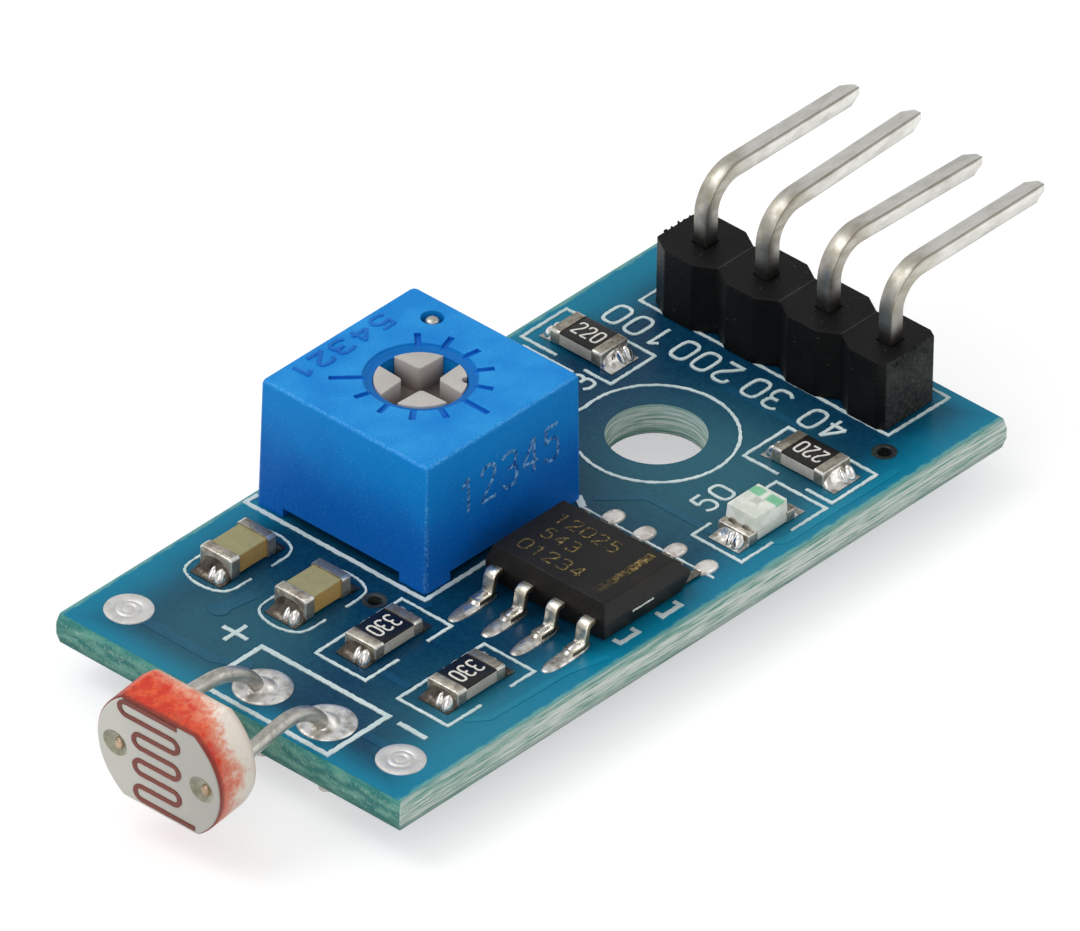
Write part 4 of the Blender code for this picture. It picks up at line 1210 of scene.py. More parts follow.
@dataclass
class SubAssembly(ABC):
    """A group of pieces of the module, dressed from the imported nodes."""

    nodes: dict[str, bpy.types.Object]

    @abstractmethod
    def build(self) -> None:
        """Builds and dresses the group's pieces."""

    def dress(self, finish: Finish, node: str) -> None:
        """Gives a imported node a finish.

        Args:
            finish: The finish.
            node: The node's name.
        """
        for slot in self.nodes[node].material_slots:
            slot.material = finish.material()
        LOG.info("%s: %s", node, finish.name)

    def soften(self, node: str, name: str, finish: Finish, width: float) -> None:
        """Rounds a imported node's edges and gives it a finish.

        Args:
            node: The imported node.
            name: The name of the piece that stands for it.
            finish: The piece's finish.
            width: How far the rounding reaches from each edge.
        """
        form = Form.of_node(self.nodes[node])
        form.chamfer(width)
        form.piece(name, [finish], [node], even=True)

    def add_joint(self, node: str, wire_radius: float) -> None:
        """Rebuilds the solder under the board as a smooth hollow cone round its wire.

        Args:
            node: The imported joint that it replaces.
            wire_radius: The radius of the wire in it.
        """
        low, high = box(node)
        form = Form()
        outer = (high.x - low.x) / 2
        form.turned(self.cone(outer, wire_radius, low.z), ((low.x + high.x) / 2, (low.y + high.y) / 2))
        form.piece(f"smooth_{node}", [SOLDER], [node], smooth=75)

    def cone(self, outer: float, wire_radius: float, tip: float) -> list[Spot]:
        """Draws a joint's underside, from its tip to inside the board's hole.

        Args:
            outer: The joint's radius at the board.
            wire_radius: The wire's radius.
            tip: The height of the joint's tip.

        Returns:
            The profile's (radius, height) points.
        """
        steps = 8
        profile = [(0.02, tip + 0.03), (wire_radius, tip + 0.02)]
        for step in range(steps + 1):
            share = step / steps
            radius = wire_radius + 0.02 + (outer - wire_radius - 0.02) * share**2.2
            profile.append((radius, tip + 0.03 + (-0.03 - tip) * share))
        return [*profile, (wire_radius + 0.1, 0.0), (wire_radius + 0.1, 0.6), (0.02, 0.62)]


@dataclass
class Board(SubAssembly):
    """The masked board with its print, traces and bare pads."""

    sunk: float = 0.01
    trace_height: float = 0.014
    ink_height: float = 0.03
    ink_width: float = 0.105
    ink_wobble: float = 0.016
    ring_centre: Spot = (5.7, 0.15)
    ring_radius: float = 2.575
    header_corners: Sequence[Spot] = ((10.62, 5.28), (10.52, -5.07), (13.3, -5.1), (13.3, 5.28))
    column_x: float = -7.95
    chip_half: Spot = (1.925, 1.025)
    chip_rows: Spot = (-1.07, -4.46)
    capacitor_half: Spot = (1.8, 0.975)
    capacitor_rows: Spot = (4.95, 1.87)
    capacitor_ink: float = 0.08
    side_x: Spot = (6.67, 8.72)
    side_rows: Sequence[Spot] = ((2.93, 6.62), (-6.2, -2.58))
    lamp_rows: Sequence[Spot] = ((-6.25, -4.21), (4.25, 6.25))
    sensor_corners: Sequence[Spot] = ((-13.44, -3.84), (-10.75, -3.84), (-10.75, 1.35), (-13.44, 1.35))
    sensor_ink: float = 0.17
    pads: Sequence[Spot] = ((-12.1, 5.6), (-12.1, -5.6))
    vias: Sequence[Spot] = ((-6.65, 0.5), (9.8, -5.55))
    buried_via: Spot = (-10.21, 3.62)
    pin_numerals: Sequence[tuple[str, float]] = (("100", 4.4), ("200", 1.6), ("30", -0.9), ("40", -3.25))
    traces: Sequence[Stroke] = (
        (0.4, ((-12.2, 4.8), (-12.2, 2.0), (-11.6, 0.9))),
        (0.5, ((-8.9, 3.4), (-10.21, 3.62))),
        (0.3, ((1.9, -0.7), (3.05, -1.9), (3.05, -5.3), (4.2, -6.45), (9.4, -6.45))),
        (0.3, ((-9.2, -2.1), (-9.2, -3.3))),
        (0.35, ((-11.9, -3.9), (-11.9, -4.9))),
        (0.25, ((-9.3, -5.6), (-8.7, -6.1), (-5.4, -6.2), (-3.9, -6.6))),
        (0.3, ((9.0, 0.4), (9.0, -3.0))),
        (0.3, ((-7.0, 0.0), (-5.6, -0.9))),
    )
    package_marks: Sequence[Stroke] = (
        (0.15, ((-5.05, 6.82), (-5.6, 6.82), (-5.6, -0.6), (-0.5, -0.6))),
        (0.075, ((1.28, -0.75), (1.28, -6.2))),
        (0.24, ((1.3, -0.8), (1.62, -0.32))),
        (0.15, ((-1.26, -6.12), (-1.26, -6.4), (-0.46, -6.4), (-0.46, -6.12))),
        (0.15, ((-3.17, -6.12), (-3.17, -6.4), (-2.37, -6.4), (-2.37, -6.12))),
    )
    signs: Sequence[Stroke] = (
        (0.17, ((-10.79, -4.3), (-10.79, -5.44))),
        (0.14, ((-11.29, 2.42), (-10.29, 2.42))),
        (0.14, ((-10.79, 1.92), (-10.79, 2.92))),
    )
    pad_profile: Sequence[Spot] = (
        (0.79, -0.01), (0.775, 0.03), (0.70, 0.05), (0.46, 0.05), (0.41, 0.025),
        (0.36, 0.05), (0.24, 0.055), (0.20, 0.03), (0.14, 0.045), (0.03, 0.045),
    )
    barrel_profile: Sequence[Spot] = (
        (0.295, 0.04), (0.295, 1.0), (0.4, 1.09), (0.4, 1.12),
        (0.3, 1.13), (0.24, 1.1), (0.24, 0.4), (0.03, 0.38),
    )
    trace_via_profile: Sequence[Spot] = (
        (0.36, 1.09), (0.35, 1.13), (0.24, 1.13), (0.19, 1.118), (0.05, 1.116),
    )

    def build(self) -> None:
        """Dresses the laminate, then lays what is printed and plated on it."""
        self.dress(MASK, "pcb")
        self.lay_traces()
        self.print_outlines()
        self.print_numerals()
        self.plate_pads()

    def stroke(self, form: Form, line: Sequence[Spot], width: float = 0.0, closed: bool = False) -> None:
        """Prints one line of ink."""
        bottom, top = BOARD_TOP - self.sunk, BOARD_TOP + self.ink_height
        form.ribbon(line, width or self.ink_width, bottom, top, self.ink_wobble, closed)

    def lay_traces(self) -> None:
        """Raises the copper lines that show through the mask."""
        form = Form()
        for width, line in self.traces:
            form.ribbon(line, width, BOARD_TOP - self.sunk, BOARD_TOP + self.trace_height)
        form.turned(self.trace_via_profile, self.buried_via)
        form.piece("masked_traces", [COPPER])

    def print_outlines(self) -> None:
        """Prints the outlines round the parts."""
        form = Form()
        radius = self.ring_radius
        ring_top = self.ring_centre[1] + radius
        self.stroke(form, arc(self.ring_centre, radius, 78, -205, 60))
        tail = [(3.0, ring_top), (4.87, ring_top), *arc(self.ring_centre, radius, 100, 78, 4)]
        self.stroke(form, tail)
        self.stroke(form, self.header_corners, closed=True)
        half_x, half_y = self.chip_half
        left, right = self.column_x - half_x, self.column_x + half_x
        for centre in self.chip_rows:
            low, high = centre - half_y, centre + half_y
            frame = [(left, low), (left, high), (right, high), (right, low)]
            self.stroke(form, [(self.column_x - 0.45, low), *frame, (self.column_x + 0.85, low)])
        end, half_y = self.capacitor_half
        bow = [(0.45, -1), (end - 0.42, -1), (end - 0.12, -0.62), (end, 0)]
        bow += [(x, -y) for x, y in reversed(bow[:-1])]
        for centre in self.capacitor_rows:
            for side in (-1, 1):
                line = [(self.column_x + side * x, centre + half_y * y) for x, y in bow]
                self.stroke(form, rounded(line), self.capacitor_ink)
        left, right = self.side_x
        for low, high in self.side_rows:
            middle = (low + high) / 2
            frame = [(left, low), (right, low), (right, high), (left, high)]
            self.stroke(form, [(left, middle - 0.75), *frame, (left, middle + 0.4)])
        for low, high in self.lamp_rows:
            self.stroke(form, [(3.35, high), (2.49, high), (2.49, low), (3.9, low)])
            self.stroke(form, [(4.75, low), (6.34, low), (6.34, high), (4.7, high)])
        for width, line in self.package_marks:
            self.stroke(form, line, width)
        self.stroke(form, self.sensor_corners, self.sensor_ink, closed=True)
        for width, line in self.signs:
            self.stroke(form, line, width)
        form.piece("printed_outlines", [INK])

    def print_numerals(self) -> None:
        """Numbers the header's pins and the output lamp."""
        form = Form()
        levels = (BOARD_TOP - self.sunk, BOARD_TOP + self.ink_height)
        for text, y in self.pin_numerals:
            form.write(text, (9.58, y), 90, 1.02, 0.11, levels, spread=0.88)
        form.write("50", (4.38, -3.38), 0, 0.8, 0.1, levels)
        form.write("3", (6.15, 3.65), 0, 0.8, 0.11, levels)
        form.piece("printed_numerals", [INK])

    def plate_pads(self) -> None:
        """Tins the two test pads, and sets a dark plug with a dark rim in each open via, the plug being
        painted shade inside the hole.
        """
        form = Form()
        for centre in self.pads:
            form.turned([(radius, BOARD_TOP + rise) for radius, rise in self.pad_profile], centre)
        form.piece("test_pads", [PAD])
        # Painted shade: a dark plug stands in each via's hole.
        barrels = Form()
        for centre in self.vias:
            barrels.turned(self.barrel_profile, centre, segments=28)
        barrels.piece("via_barrels", [VIA_SHADE_AND_SEAM])


@dataclass
class PinHeader(SubAssembly):
    """The black strip and its four bent pins."""

    strip_rounding: float = 0.05
    sawn_depth: float = 0.04
    seams: Sequence[float] = (2.34, -0.2, -2.74)
    seam_width: float = 0.035
    seam_inset: float = 0.42
    burr_counts: Sequence[int] = (14, 5)
    burr_sizes: Spot = (0.04, 0.11)
    burr_drops: Sequence[float] = (0.02, 0.05, 0.4, 0.9)
    pin_width: float = 0.56
    corner: float = 0.06
    bend_radius: float = 1.2
    bend_steps: int = 16
    pinch: Spot = (0.06, -0.08)
    tip_length: float = 0.5
    tip_share: float = 0.5
    leans: Sequence[float] = (0.0, 0.25, -0.2, 0.0)

    def build(self) -> None:
        """Rounds the strip's edges, rebuilds the pins and dresses the solder below."""
        self.add_strip()
        self.add_burrs()
        self.score_seams()
        for number, lean in enumerate(self.leans, 1):
            self.add_pin(number, lean)
            self.add_joint(f"header_solder_{number}", self.pin_width * 0.62)

    def add_strip(self) -> None:
        """Rounds the strip's edges and roughens its sawn ends."""
        low, high = box("header_body")
        strip = Form.of_node(self.nodes["header_body"])
        strip.chamfer(self.strip_rounding)

        def is_sawn(face: bmesh.types.BMFace) -> bool:
            """Tells whether a face lies at one of the strip's ends."""
            y = face.calc_center_median().y
            return min(y - low.y, high.y - y) < self.sawn_depth

        strip.mark(1, is_sawn)
        strip.piece("header_strip", [STRIP, SAWN], ["header_body"], even=True)

    def add_pin(self, number: int, lean: float) -> None:
        """Bends one square wire along its packed pin's line.

        Args:
            number: The pin's number.
            lean: How far its end rises from the knee.
        """
        name = f"header_pin_{number}"
        vertices = [vertex.co / MM for vertex in self.nodes[name].data.vertices]
        low, high = box(name)
        tail = [point for point in vertices if point.z < low.z + 0.01]
        tip = [point for point in vertices if point.x > high.x - 0.03]
        foot = sum(tail, Vector()) / len(tail)
        end = sum(tip, Vector()) / len(tip) - Vector((0.015, 0, 0))
        path = bent([foot, Vector((foot.x, foot.y, end.z - lean)), end], self.bend_radius, self.bend_steps)
        path.insert(1, foot + Vector((0, 0, self.tip_length)))
        path.insert(-1, end + (path[-2] - end).normalized() * self.tip_length)
        scales = [(1.0, 1.0)] * len(path)
        scales[0] = scales[-1] = (self.tip_share, self.tip_share)
        for step in range(self.bend_steps + 1):
            pinch = math.sin(math.pi * step / self.bend_steps)
            scales[step + 2] = (1 + self.pinch[0] * pinch, 1 + self.pinch[1] * pinch)
        form = Form()
        form.tube(path, square(self.pin_width, self.pin_width, self.corner), scales)
        # Painted shade on the rounded edge that faces -Y.
        form.mark(1, lambda face: -0.93 < face.normal.y < -0.35)
        form.piece(f"bent_pin_{number}", [PIN, ARRIS], [name])

    def score_seams(self) -> None:
        """Draws the parting line between two units across the strip's top."""
        low, high = box("header_body")
        form = Form()
        for seam in self.seams:
            line = [(low.x + self.seam_inset, seam), (high.x - self.seam_inset, seam)]
            form.ribbon(line, self.seam_width, high.z - 0.02, high.z + 0.002)
        form.piece("strip_seams", [VIA_SHADE_AND_SEAM])

    def add_burrs(self) -> None:
        """Leaves torn crumbs along the strip's sawn ends."""
        low, high = box("header_body")
        form = Form(seed=3)
        chance = form.chance
        for end, count in zip((high.y - 0.01, low.y + 0.01), self.burr_counts):
            for _ in range(count):
                across = chance.uniform(low.x + 0.45, high.x - 0.45)
                edge = high.z - chance.choice(self.burr_drops) * chance.random()
                size = chance.uniform(*self.burr_sizes)
                spin = Euler([chance.uniform(0, 3) for _ in range(3)]).to_matrix().to_4x4()
                form.place = Matrix.Translation((across, end, edge)) @ spin
                form.dome((0, 0), (size, size * 0.7), -size / 2, size)
        form.piece("sawn_burrs", [SAWN])


@dataclass
class Trimmer(SubAssembly):
    """The blue housing with its engraved scale, and the turning rotor in its well."""

    shell_rounding: float = 0.035
    rotor_rounding: float = 0.06
    petal_rounding: float = 0.14
    tick_width: float = 0.21
    tick_depth: float = 0.11
    ring_radius: float = 1.8
    ring_depth: float = 0.17
    ring_slope: Sequence[Spot] = (
        (-0.28, -1.0), (-0.18, -0.85), (-0.09, -0.45), (-0.03, -0.12), (0.0, 0.0), (0.0, 1.5),
    )
    first_tick: float = 135.0
    tick_step: float = 27.0
    tick_count: int = 11
    tick_start: float = 1.68
    tick_end: float = 2.3
    long_ticks: Sequence[int] = (0, 5)
    long_end: float = 2.8
    draft: float = 0.07
    head_profile: Sequence[Spot] = ((0.24, -0.02), (0.24, 0.08), (0.19, 0.16), (0.1, 0.2), (0.02, 0.205))

    def build(self) -> None:
        """Engraves the housing, rounds the rotor, and dresses what lies inside."""
        self.add_housing()
        self.add_numerals()
        self.add_rotor()
        self.dress(BRONZE, "trimmer_wiper")
        self.dress(ALUMINA, "trimmer_element")
        self.add_pin_head()
        for number in (1, 2, 3):
            self.dress(WIRE, f"trimmer_pin_{number}")
            self.add_joint(f"trimmer_solder_{number}", 0.25)

    def add_rotor(self) -> None:
        """Rounds the rotor, with the inner edges of its four petals rounder than the rest."""
        low, high = box("trimmer_rotor")
        rotor = Form.of_node(self.nodes["trimmer_rotor"])
        rotor.round_petals((low + high) / 2, 1.0, self.petal_rounding)
        rotor.chamfer(self.rotor_rounding, 3)
        # Painted shade: the slots' walls darken and warm with depth, from the upper grey to the lower.
        levels = (high.z - 0.02, high.z - 0.12, high.z - 1.05)
        tones = {"upper": "b3aba6", "lower": "6c605a", "levels": levels, "gloss": 0.3}
        grey = Graded("rotor_plastic", "grey_plastic", "b9b4af", "cac6c1", 0.5, 0.05, 0.006, **tones)
        rotor.piece("slotted_rotor", [grey], ["trimmer_rotor"], "rotor", even=True)

    def add_pin_head(self) -> None:
        """Rounds the top of the pin that shows in the housing's small bore."""
        low, high = max((box(f"trimmer_pin_{number}") for number in (1, 2, 3)), key=lambda ends: ends[1].z)
        form = Form()
        head = [(radius, high.z + rise) for radius, rise in self.head_profile]
        form.turned(head, ((low.x + high.x) / 2, high.y - 0.25), segments=24)
        form.piece("bore_pin_head", [WIRE], smooth=80)

    def carve(self, target: bpy.types.Object, cutter: Form, name: str) -> None:
        """Cuts a form out of a piece.

        Args:
            target: The piece.
            cutter: The form to take away, which is used up.
            name: The cutter's name.
        """
        tool = linked(name, cutter.to_mesh(name))
        cut = target.modifiers.new(name, "BOOLEAN")
        cut.operation = "DIFFERENCE"
        cut.solver = "EXACT"
        cut.object = tool
        graph = bpy.context.evaluated_depsgraph_get()
        target.data = bpy.data.meshes.new_from_object(target.evaluated_get(graph))
        target.modifiers.clear()
        bpy.data.objects.remove(tool)

    def add_housing(self) -> None:
        """Cuts the scale's ticks and the ring round the well, and rounds the housing's edges."""
        low, high = box("trimmer_housing")
        centre = (low + high) / 2
        shell = Form.of_node(self.nodes["trimmer_housing"])
        shell.chamfer(self.shell_rounding)
        plastic = Housing(
            "trimmer_plastic",
            "blue_plastic",
            "0a83d8",
            "2a9de6",
            roughness=0.52,
            grain=0.05,
            depth=0.012,
            gloss=0.16,
            # Painted shade: the walls darken from the upper blue to the lower blue towards the foot.
            upper="0288da",
            lower="0062bc",
            levels=(high.z - 0.01, high.z - 0.1, low.z + 1.2),
            dust=0.1,
            centre=(centre.x, centre.y),
            ring=self.ring_radius,
        )
        housing = shell.piece("trimmer_shell", [plastic, GROOVE], ["trimmer_housing"])
        cutters = Form(upright(centre))
        for tick in range(self.tick_count):
            turn = math.radians(self.first_tick + tick * self.tick_step)
            end = self.long_end if tick in self.long_ticks else self.tick_end
            line = [(radius * math.cos(turn), radius * math.sin(turn)) for radius in (self.tick_start, end)]
            cutters.ribbon(line, self.tick_width, high.z - self.tick_depth, high.z + 0.3, slot=1)
        self.carve(housing, cutters, "scale_ticks")
        well = Form(upright(centre))
        slope = [(self.ring_radius + out, high.z + self.ring_depth * up) for out, up in self.ring_slope]
        well.turned(slope, segments=64)
        self.carve(housing, well, "well_ring")
        even_shading(housing)

    def add_numerals(self) -> None:
        """Scratches plain numerals into the housing's side and raises others beside its scale."""
        low, high = box("trimmer_housing")
        middle = (low.x + high.x) / 2
        lean = math.pi / 2 - math.atan(self.draft / (high.z - low.z))
        side = Form(Matrix.Translation((middle, low.y, low.z)) @ Matrix.Rotation(lean, 4, "X"))
        side.write("12345", (0.25, 2.75), 0, 1.25, 0.11, (-0.03, 0.012), spread=0.78)
        side.piece("side_numerals", [ETCH])
        dial = Form()
        levels = (high.z - 0.03, high.z + 0.03)
        dial.write("54321", (middle - 0.5, high.y - 0.72), 180, 0.62, 0.11, levels, spread=1.5)
        dial.piece("dial_numerals", [BLUE])


@dataclass
class Comparator(SubAssembly):
    """The eight-lead package, its leads and the solder at their feet."""

    rounding: float = 0.045
    lead: Spot = (0.45, 0.2)
    neck: Spot = (0.3, 0.1)
    near_knee: float = 0.3
    near_foot: float = 0.62
    far_knee: float = 0.05
    far_foot: float = 0.12
    bend_radius: float = 0.2
    neck_bend: float = 0.03
    near_toe: float = -5.9
    far_toe: float = 1.95
    rows: Sequence[tuple[str, float, float, float]] = (
        ("01234", 0.85, 1.95, 0.52),
        ("543", 1.72, 1.55, 0.5),
        ("12025", 2.56, 1.9, 0.52),
    )
    row_ink: float = 0.06
    stripe_ink: float = 0.3

    def build(self) -> None:
        """Rounds the package, prints its marks, and bends and solders its leads."""
        self.soften("comparator_body", "comparator_package", EPOXY, self.rounding)
        self.print_marks()
        for number in range(1, 9):
            self.add_lead(number)

    def add_lead(self, number: int) -> None:
        """Bends one lead and covers its foot with solder.

        Args:
            number: The lead's number, which is over 4 in the far row.
        """
        name = f"comparator_lead_{number}"
        low, high = box(name)
        y = (low.y + high.y) / 2
        near = number <= 4
        if near:
            (width, thickness), radius = self.lead, self.bend_radius
            places = (high.x, high.x - self.near_knee, low.x + self.near_foot, low.x)
        else:
            (width, thickness), radius = self.neck, self.neck_bend
            places = (low.x, low.x + self.far_knee, low.x + self.far_foot, high.x)
        foot, shoulder = BOARD_TOP + 0.03 + thickness / 2, high.z - thickness / 2
        corners = [Vector((x, y, z)) for x, z in zip(places, (shoulder, shoulder, foot, foot))]
        form = Form(seed=number)
        form.tube(bent(corners, radius, 8), square(width, thickness, 0.045))
        # Painted shade: the leads' flat sides take the darker finish.
        form.mark(2, lambda face: abs(face.normal.y) > 0.8)
        if near:
            reach = self.near_toe + form.chance.uniform(0.0, 0.15)
            half = (low.x + 0.9 - reach) / 2
            form.dome((reach + half, y), (half, 0.28), BOARD_TOP, 0.13, 1, (half * 0.3, 0), 2.2, 2.5)
            form.dome((low.x + 0.28, y), (0.48, 0.22), BOARD_TOP + 0.02, 0.29, 1, (0.1, 0), 1.7, 2.6)
        else:
            form.dome((self.far_toe - 0.44, y), (0.44, 0.31), BOARD_TOP, 0.17, 1, (-0.05, 0), 2.6, 2.3)
        finishes = [LEAD, FILLET, LEAD_SIDE_SHADE] if near else [NECK, BLOB, NECK]
        form.piece(f"soldered_lead_{number}", finishes, [name], smooth=75)

    def print_marks(self) -> None:
        """Prints faint rows of plain numerals and a stripe, and bares the tie bar's end."""
        low, high = box("comparator_body")
        levels = (high.z - 0.005, high.z + 0.004)
        form = Form()
        for text, x, y, height in self.rows:
            form.write(text, (low.x + x, high.y - y), -90, height, self.row_ink, levels, spread=1.05)
        line = [(low.x + 0.5, low.y + 0.8), (high.x - 0.85, low.y + 0.8)]
        form.ribbon(line, self.stripe_ink, *levels, 0.03, slot=1)
        fade = (low.x - 0.1, high.x - 1.1)
        stripe = Worn("fading_stripe", "package_epoxy", "54482e", "9a8450", (0.34, 0.58), 0.12, fade)
        form.piece("package_marks", [GOLD, stripe])
        stub = Form(Matrix.Translation((0, low.y - 0.012, 0)) @ Matrix.Rotation(math.pi / 2, 4, "X"))
        stub.ribbon([(low.x + 1.25, 1.86), (low.x + 2.2, 1.86)], 0.07, -0.05, 0.012, 0.012)
        stub.piece("package_tie_bar", [LEAD])


@dataclass
class Chips(SubAssembly):
    """The resistors and capacitors with their caps, fillets and print."""

    labels: Sequence[str] = ("330", "330", "220", "220")
    readings: Sequence[float] = (180.0, 180.0, 180.0, 0.0)
    glaze_height: float = 0.045
    glaze_bevel: float = 0.04
    cap_proud: float = 0.06
    cap_wrap: float = 0.32
    cap_spare: float = 0.014
    cap_bevel: float = 0.03
    fillet_height: float = 0.7
    fillet_length: float = 0.45
    fillet_steps: int = 10
    beads: Sequence[Spot] = ((0.02, 0.12), (0.52, 0.2))

    def build(self) -> None:
        """Dresses each chip part."""
        for number, (label, reading) in enumerate(zip(self.labels, self.readings), 1):
            self.add_resistor(f"resistor_{number}", label, reading)
        for name in ("capacitor_1", "capacitor_2"):
            finish = Capacitor("tan_block", "tan_ceramic", box(f"{name}_body")[1].z)
            self.soften(f"{name}_body", f"{name}_block", finish, 0.04)
            self.add_caps(name, 0.1)

    def add_resistor(self, name: str, label: str, reading: float) -> None:
        """Glazes a resistor's top and prints its value.

        Args:
            name: The resistor.
            label: Its numerals.
            reading: The direction that they read in, in degrees.
        """
        low, high = box(f"{name}_body")
        self.soften(f"{name}_body", f"{name}_core", ALUMINA, 0.03)
        width, length = sorted((high.x - low.x, high.y - low.y))
        turned = math.radians(90) if length > high.x - low.x else 0.0
        glaze = Form(upright((low + high) / 2, turned))
        outline = square(length - 0.66, width - 0.02, 0.02)
        inset = square(length - 0.66 - 2 * self.glaze_bevel, width - 0.02 - 2 * self.glaze_bevel, 0.02)
        top = high.z + self.glaze_height
        rings = ((outline, high.z - 0.01), (outline, high.z + 0.03), (inset, top))
        glaze.loft([[(*point, height) for point in ring] for ring, height in rings])
        glaze.write(label, (0, 0), reading, 0.6, 0.07, (top - 0.005, top + 0.006), 1, 0.66)
        glaze.piece(f"{name}_glaze", [GLAZE, CHALK])
        self.add_caps(name, 0.08)

    def add_caps(self, name: str, rounding: float) -> None:
        """Builds a chip's end caps and the hollow solder fillets in front of them.

        Args:
            name: The chip.
            rounding: The radius of the caps' corners.
        """
        body_low, body_high = box(f"{name}_body")
        centre = (body_low + body_high) / 2
        for number in (1, 2):
            node = f"{name}_terminal_{number}"
            low, high = box(node)
            outward = (low + high) / 2 - centre
            turn = math.atan2(outward.y, outward.x)
            along, across = (0, 1) if abs(math.cos(turn)) > 0.5 else (1, 0)
            half_body = (body_high - body_low)[along] / 2
            half = (high - low)[across] / 2 + self.cap_spare
            form = Form(upright(centre, turn), seed=number)
            outer, inner = half_body + self.cap_proud, half_body - self.cap_wrap
            bevel = self.cap_bevel
            wall = square_at(half, low.z + 0.02, high.z, rounding)
            front = square_at(half - bevel, low.z + 0.02 + bevel, high.z - bevel, rounding)
            rings = [[(x, y, z) for y, z in wall] for x in (inner, outer - bevel)]
            form.loft([*rings, [(outer, y * 0.96, z) for y, z in front]])
            # Painted highlight on the bevelled edges of the cap.
            form.mark(3, lambda face: max(abs(part) for part in face.normal) < 0.95)
            toe = outer + max((high - low)[along] + inner - outer, self.fillet_length)
            self.add_fillet(form, (outer - 0.02, toe), half * 0.97, (low.z, high.z))
            for share, size in self.beads:
                x = toe - 0.24 - form.chance.uniform(0, 0.06)
                y = (share + form.chance.uniform(0, 0.12)) * half
                form.dome((x, y), (0.22, size), low.z + 0.02, 0.3 + size / 2, 2, (-0.1, 0))
            # The fillets of the chips on the -X half are painted near black as painted shade and reflection.
            fillet = PAINTED_FILLET_SHADE if centre.x < 0 else FILLET
            form.piece(f"{name}_end_{number}", [CAP, fillet, BEAD, CAP_EDGE_HIGHLIGHT], [node], smooth=60)

    def add_fillet(self, form: Form, reach: Spot, half: float, heights: Spot) -> None:
        """Draws a hollow fillet from a cap down to the toe of its pad.

        Args:
            form: The form to draw in, whose +X runs out of the cap.
            reach: The cap's end and the pad's toe.
            half: Half the fillet's width.
            heights: The board's height and the top of the cap.
        """
        start, end = reach
        base, crest = heights
        steps = self.fillet_steps
        rings = []
        for step in range(steps + 1):
            share = step / steps
            x = start + (end - start) * share
            height = (crest - base) * self.fillet_height * (1 - share) ** 2.2 + 0.05 * (1 - share**4)
            ripple = 1 + 0.1 * math.sin(share * 7 + form.chance.uniform(0, 0.6))
            ring = [(x, -half, base - 0.01), (x, half, base - 0.01)]
            for place in range(steps + 1):
                side = 1 - 2 * place / steps
                bulge = (1 - abs(side) ** 3.2) * 0.75 + 0.25
                lumps = 1 + 0.18 * math.sin(side * 5 + share * 3) * share
                ring.append((x, side * half, base + max(0.012, height * bulge * ripple * lumps)))
            rings.append(ring)
        form.loft(rings, 1)


def square_at(half_width: float, bottom: float, top: float, corner: float) -> list[Spot]:
    """Returns a rounded rectangle between two heights."""
    middle = (bottom + top) / 2
    return [(y, z + middle) for y, z in square(2 * half_width, top - bottom, corner)]


@dataclass
class Lamps(Chips):
    """The two chip lamps: a moulded resin block on a plate, with end caps and two vents."""

    lens_rounding: float = 0.035
    stripe: Spot = (0.82, 0.38)
    vent_spacing: float = 0.56
    vent_profile: Sequence[Spot] = ((0.16, -0.02), (0.17, 0.03), (0.12, 0.05), (0.1, 0.0), (0.02, -0.01))

    def build(self) -> None:
        """Builds both lamps."""
        for name, striped in (("output_led", True), ("power_led", False)):
            low, high = box(f"{name}_body")
            middle = (low + high) / 2
            stripe = (high.x - self.stripe[0], high.x - self.stripe[1])
            resin = Resin(f"{name}_resin", "milky_resin", stripe, (middle.x, middle.y), high.z, striped)
            self.soften(f"{name}_body", f"{name}_lens", resin, self.lens_rounding)
            self.add_caps(name, 0.03)
            self.add_vents(name)

    def add_vents(self, name: str) -> None:
        """Sets two dark round vents into the lens block's -X end.

        Args:
            name: The lamp.
        """
        low, high = box(f"{name}_body")
        form = Form()
        for side in (-0.5, 0.5):
            y = (low.y + high.y) / 2 + side * self.vent_spacing
            facing = Matrix.Rotation(math.radians(-90), 4, "Y")
            form.place = Matrix.Translation((low.x + 0.2, y, low.z + 0.3)) @ facing
            form.turned(self.vent_profile, segments=20)
        form.piece(f"{name}_vents", [CAP])


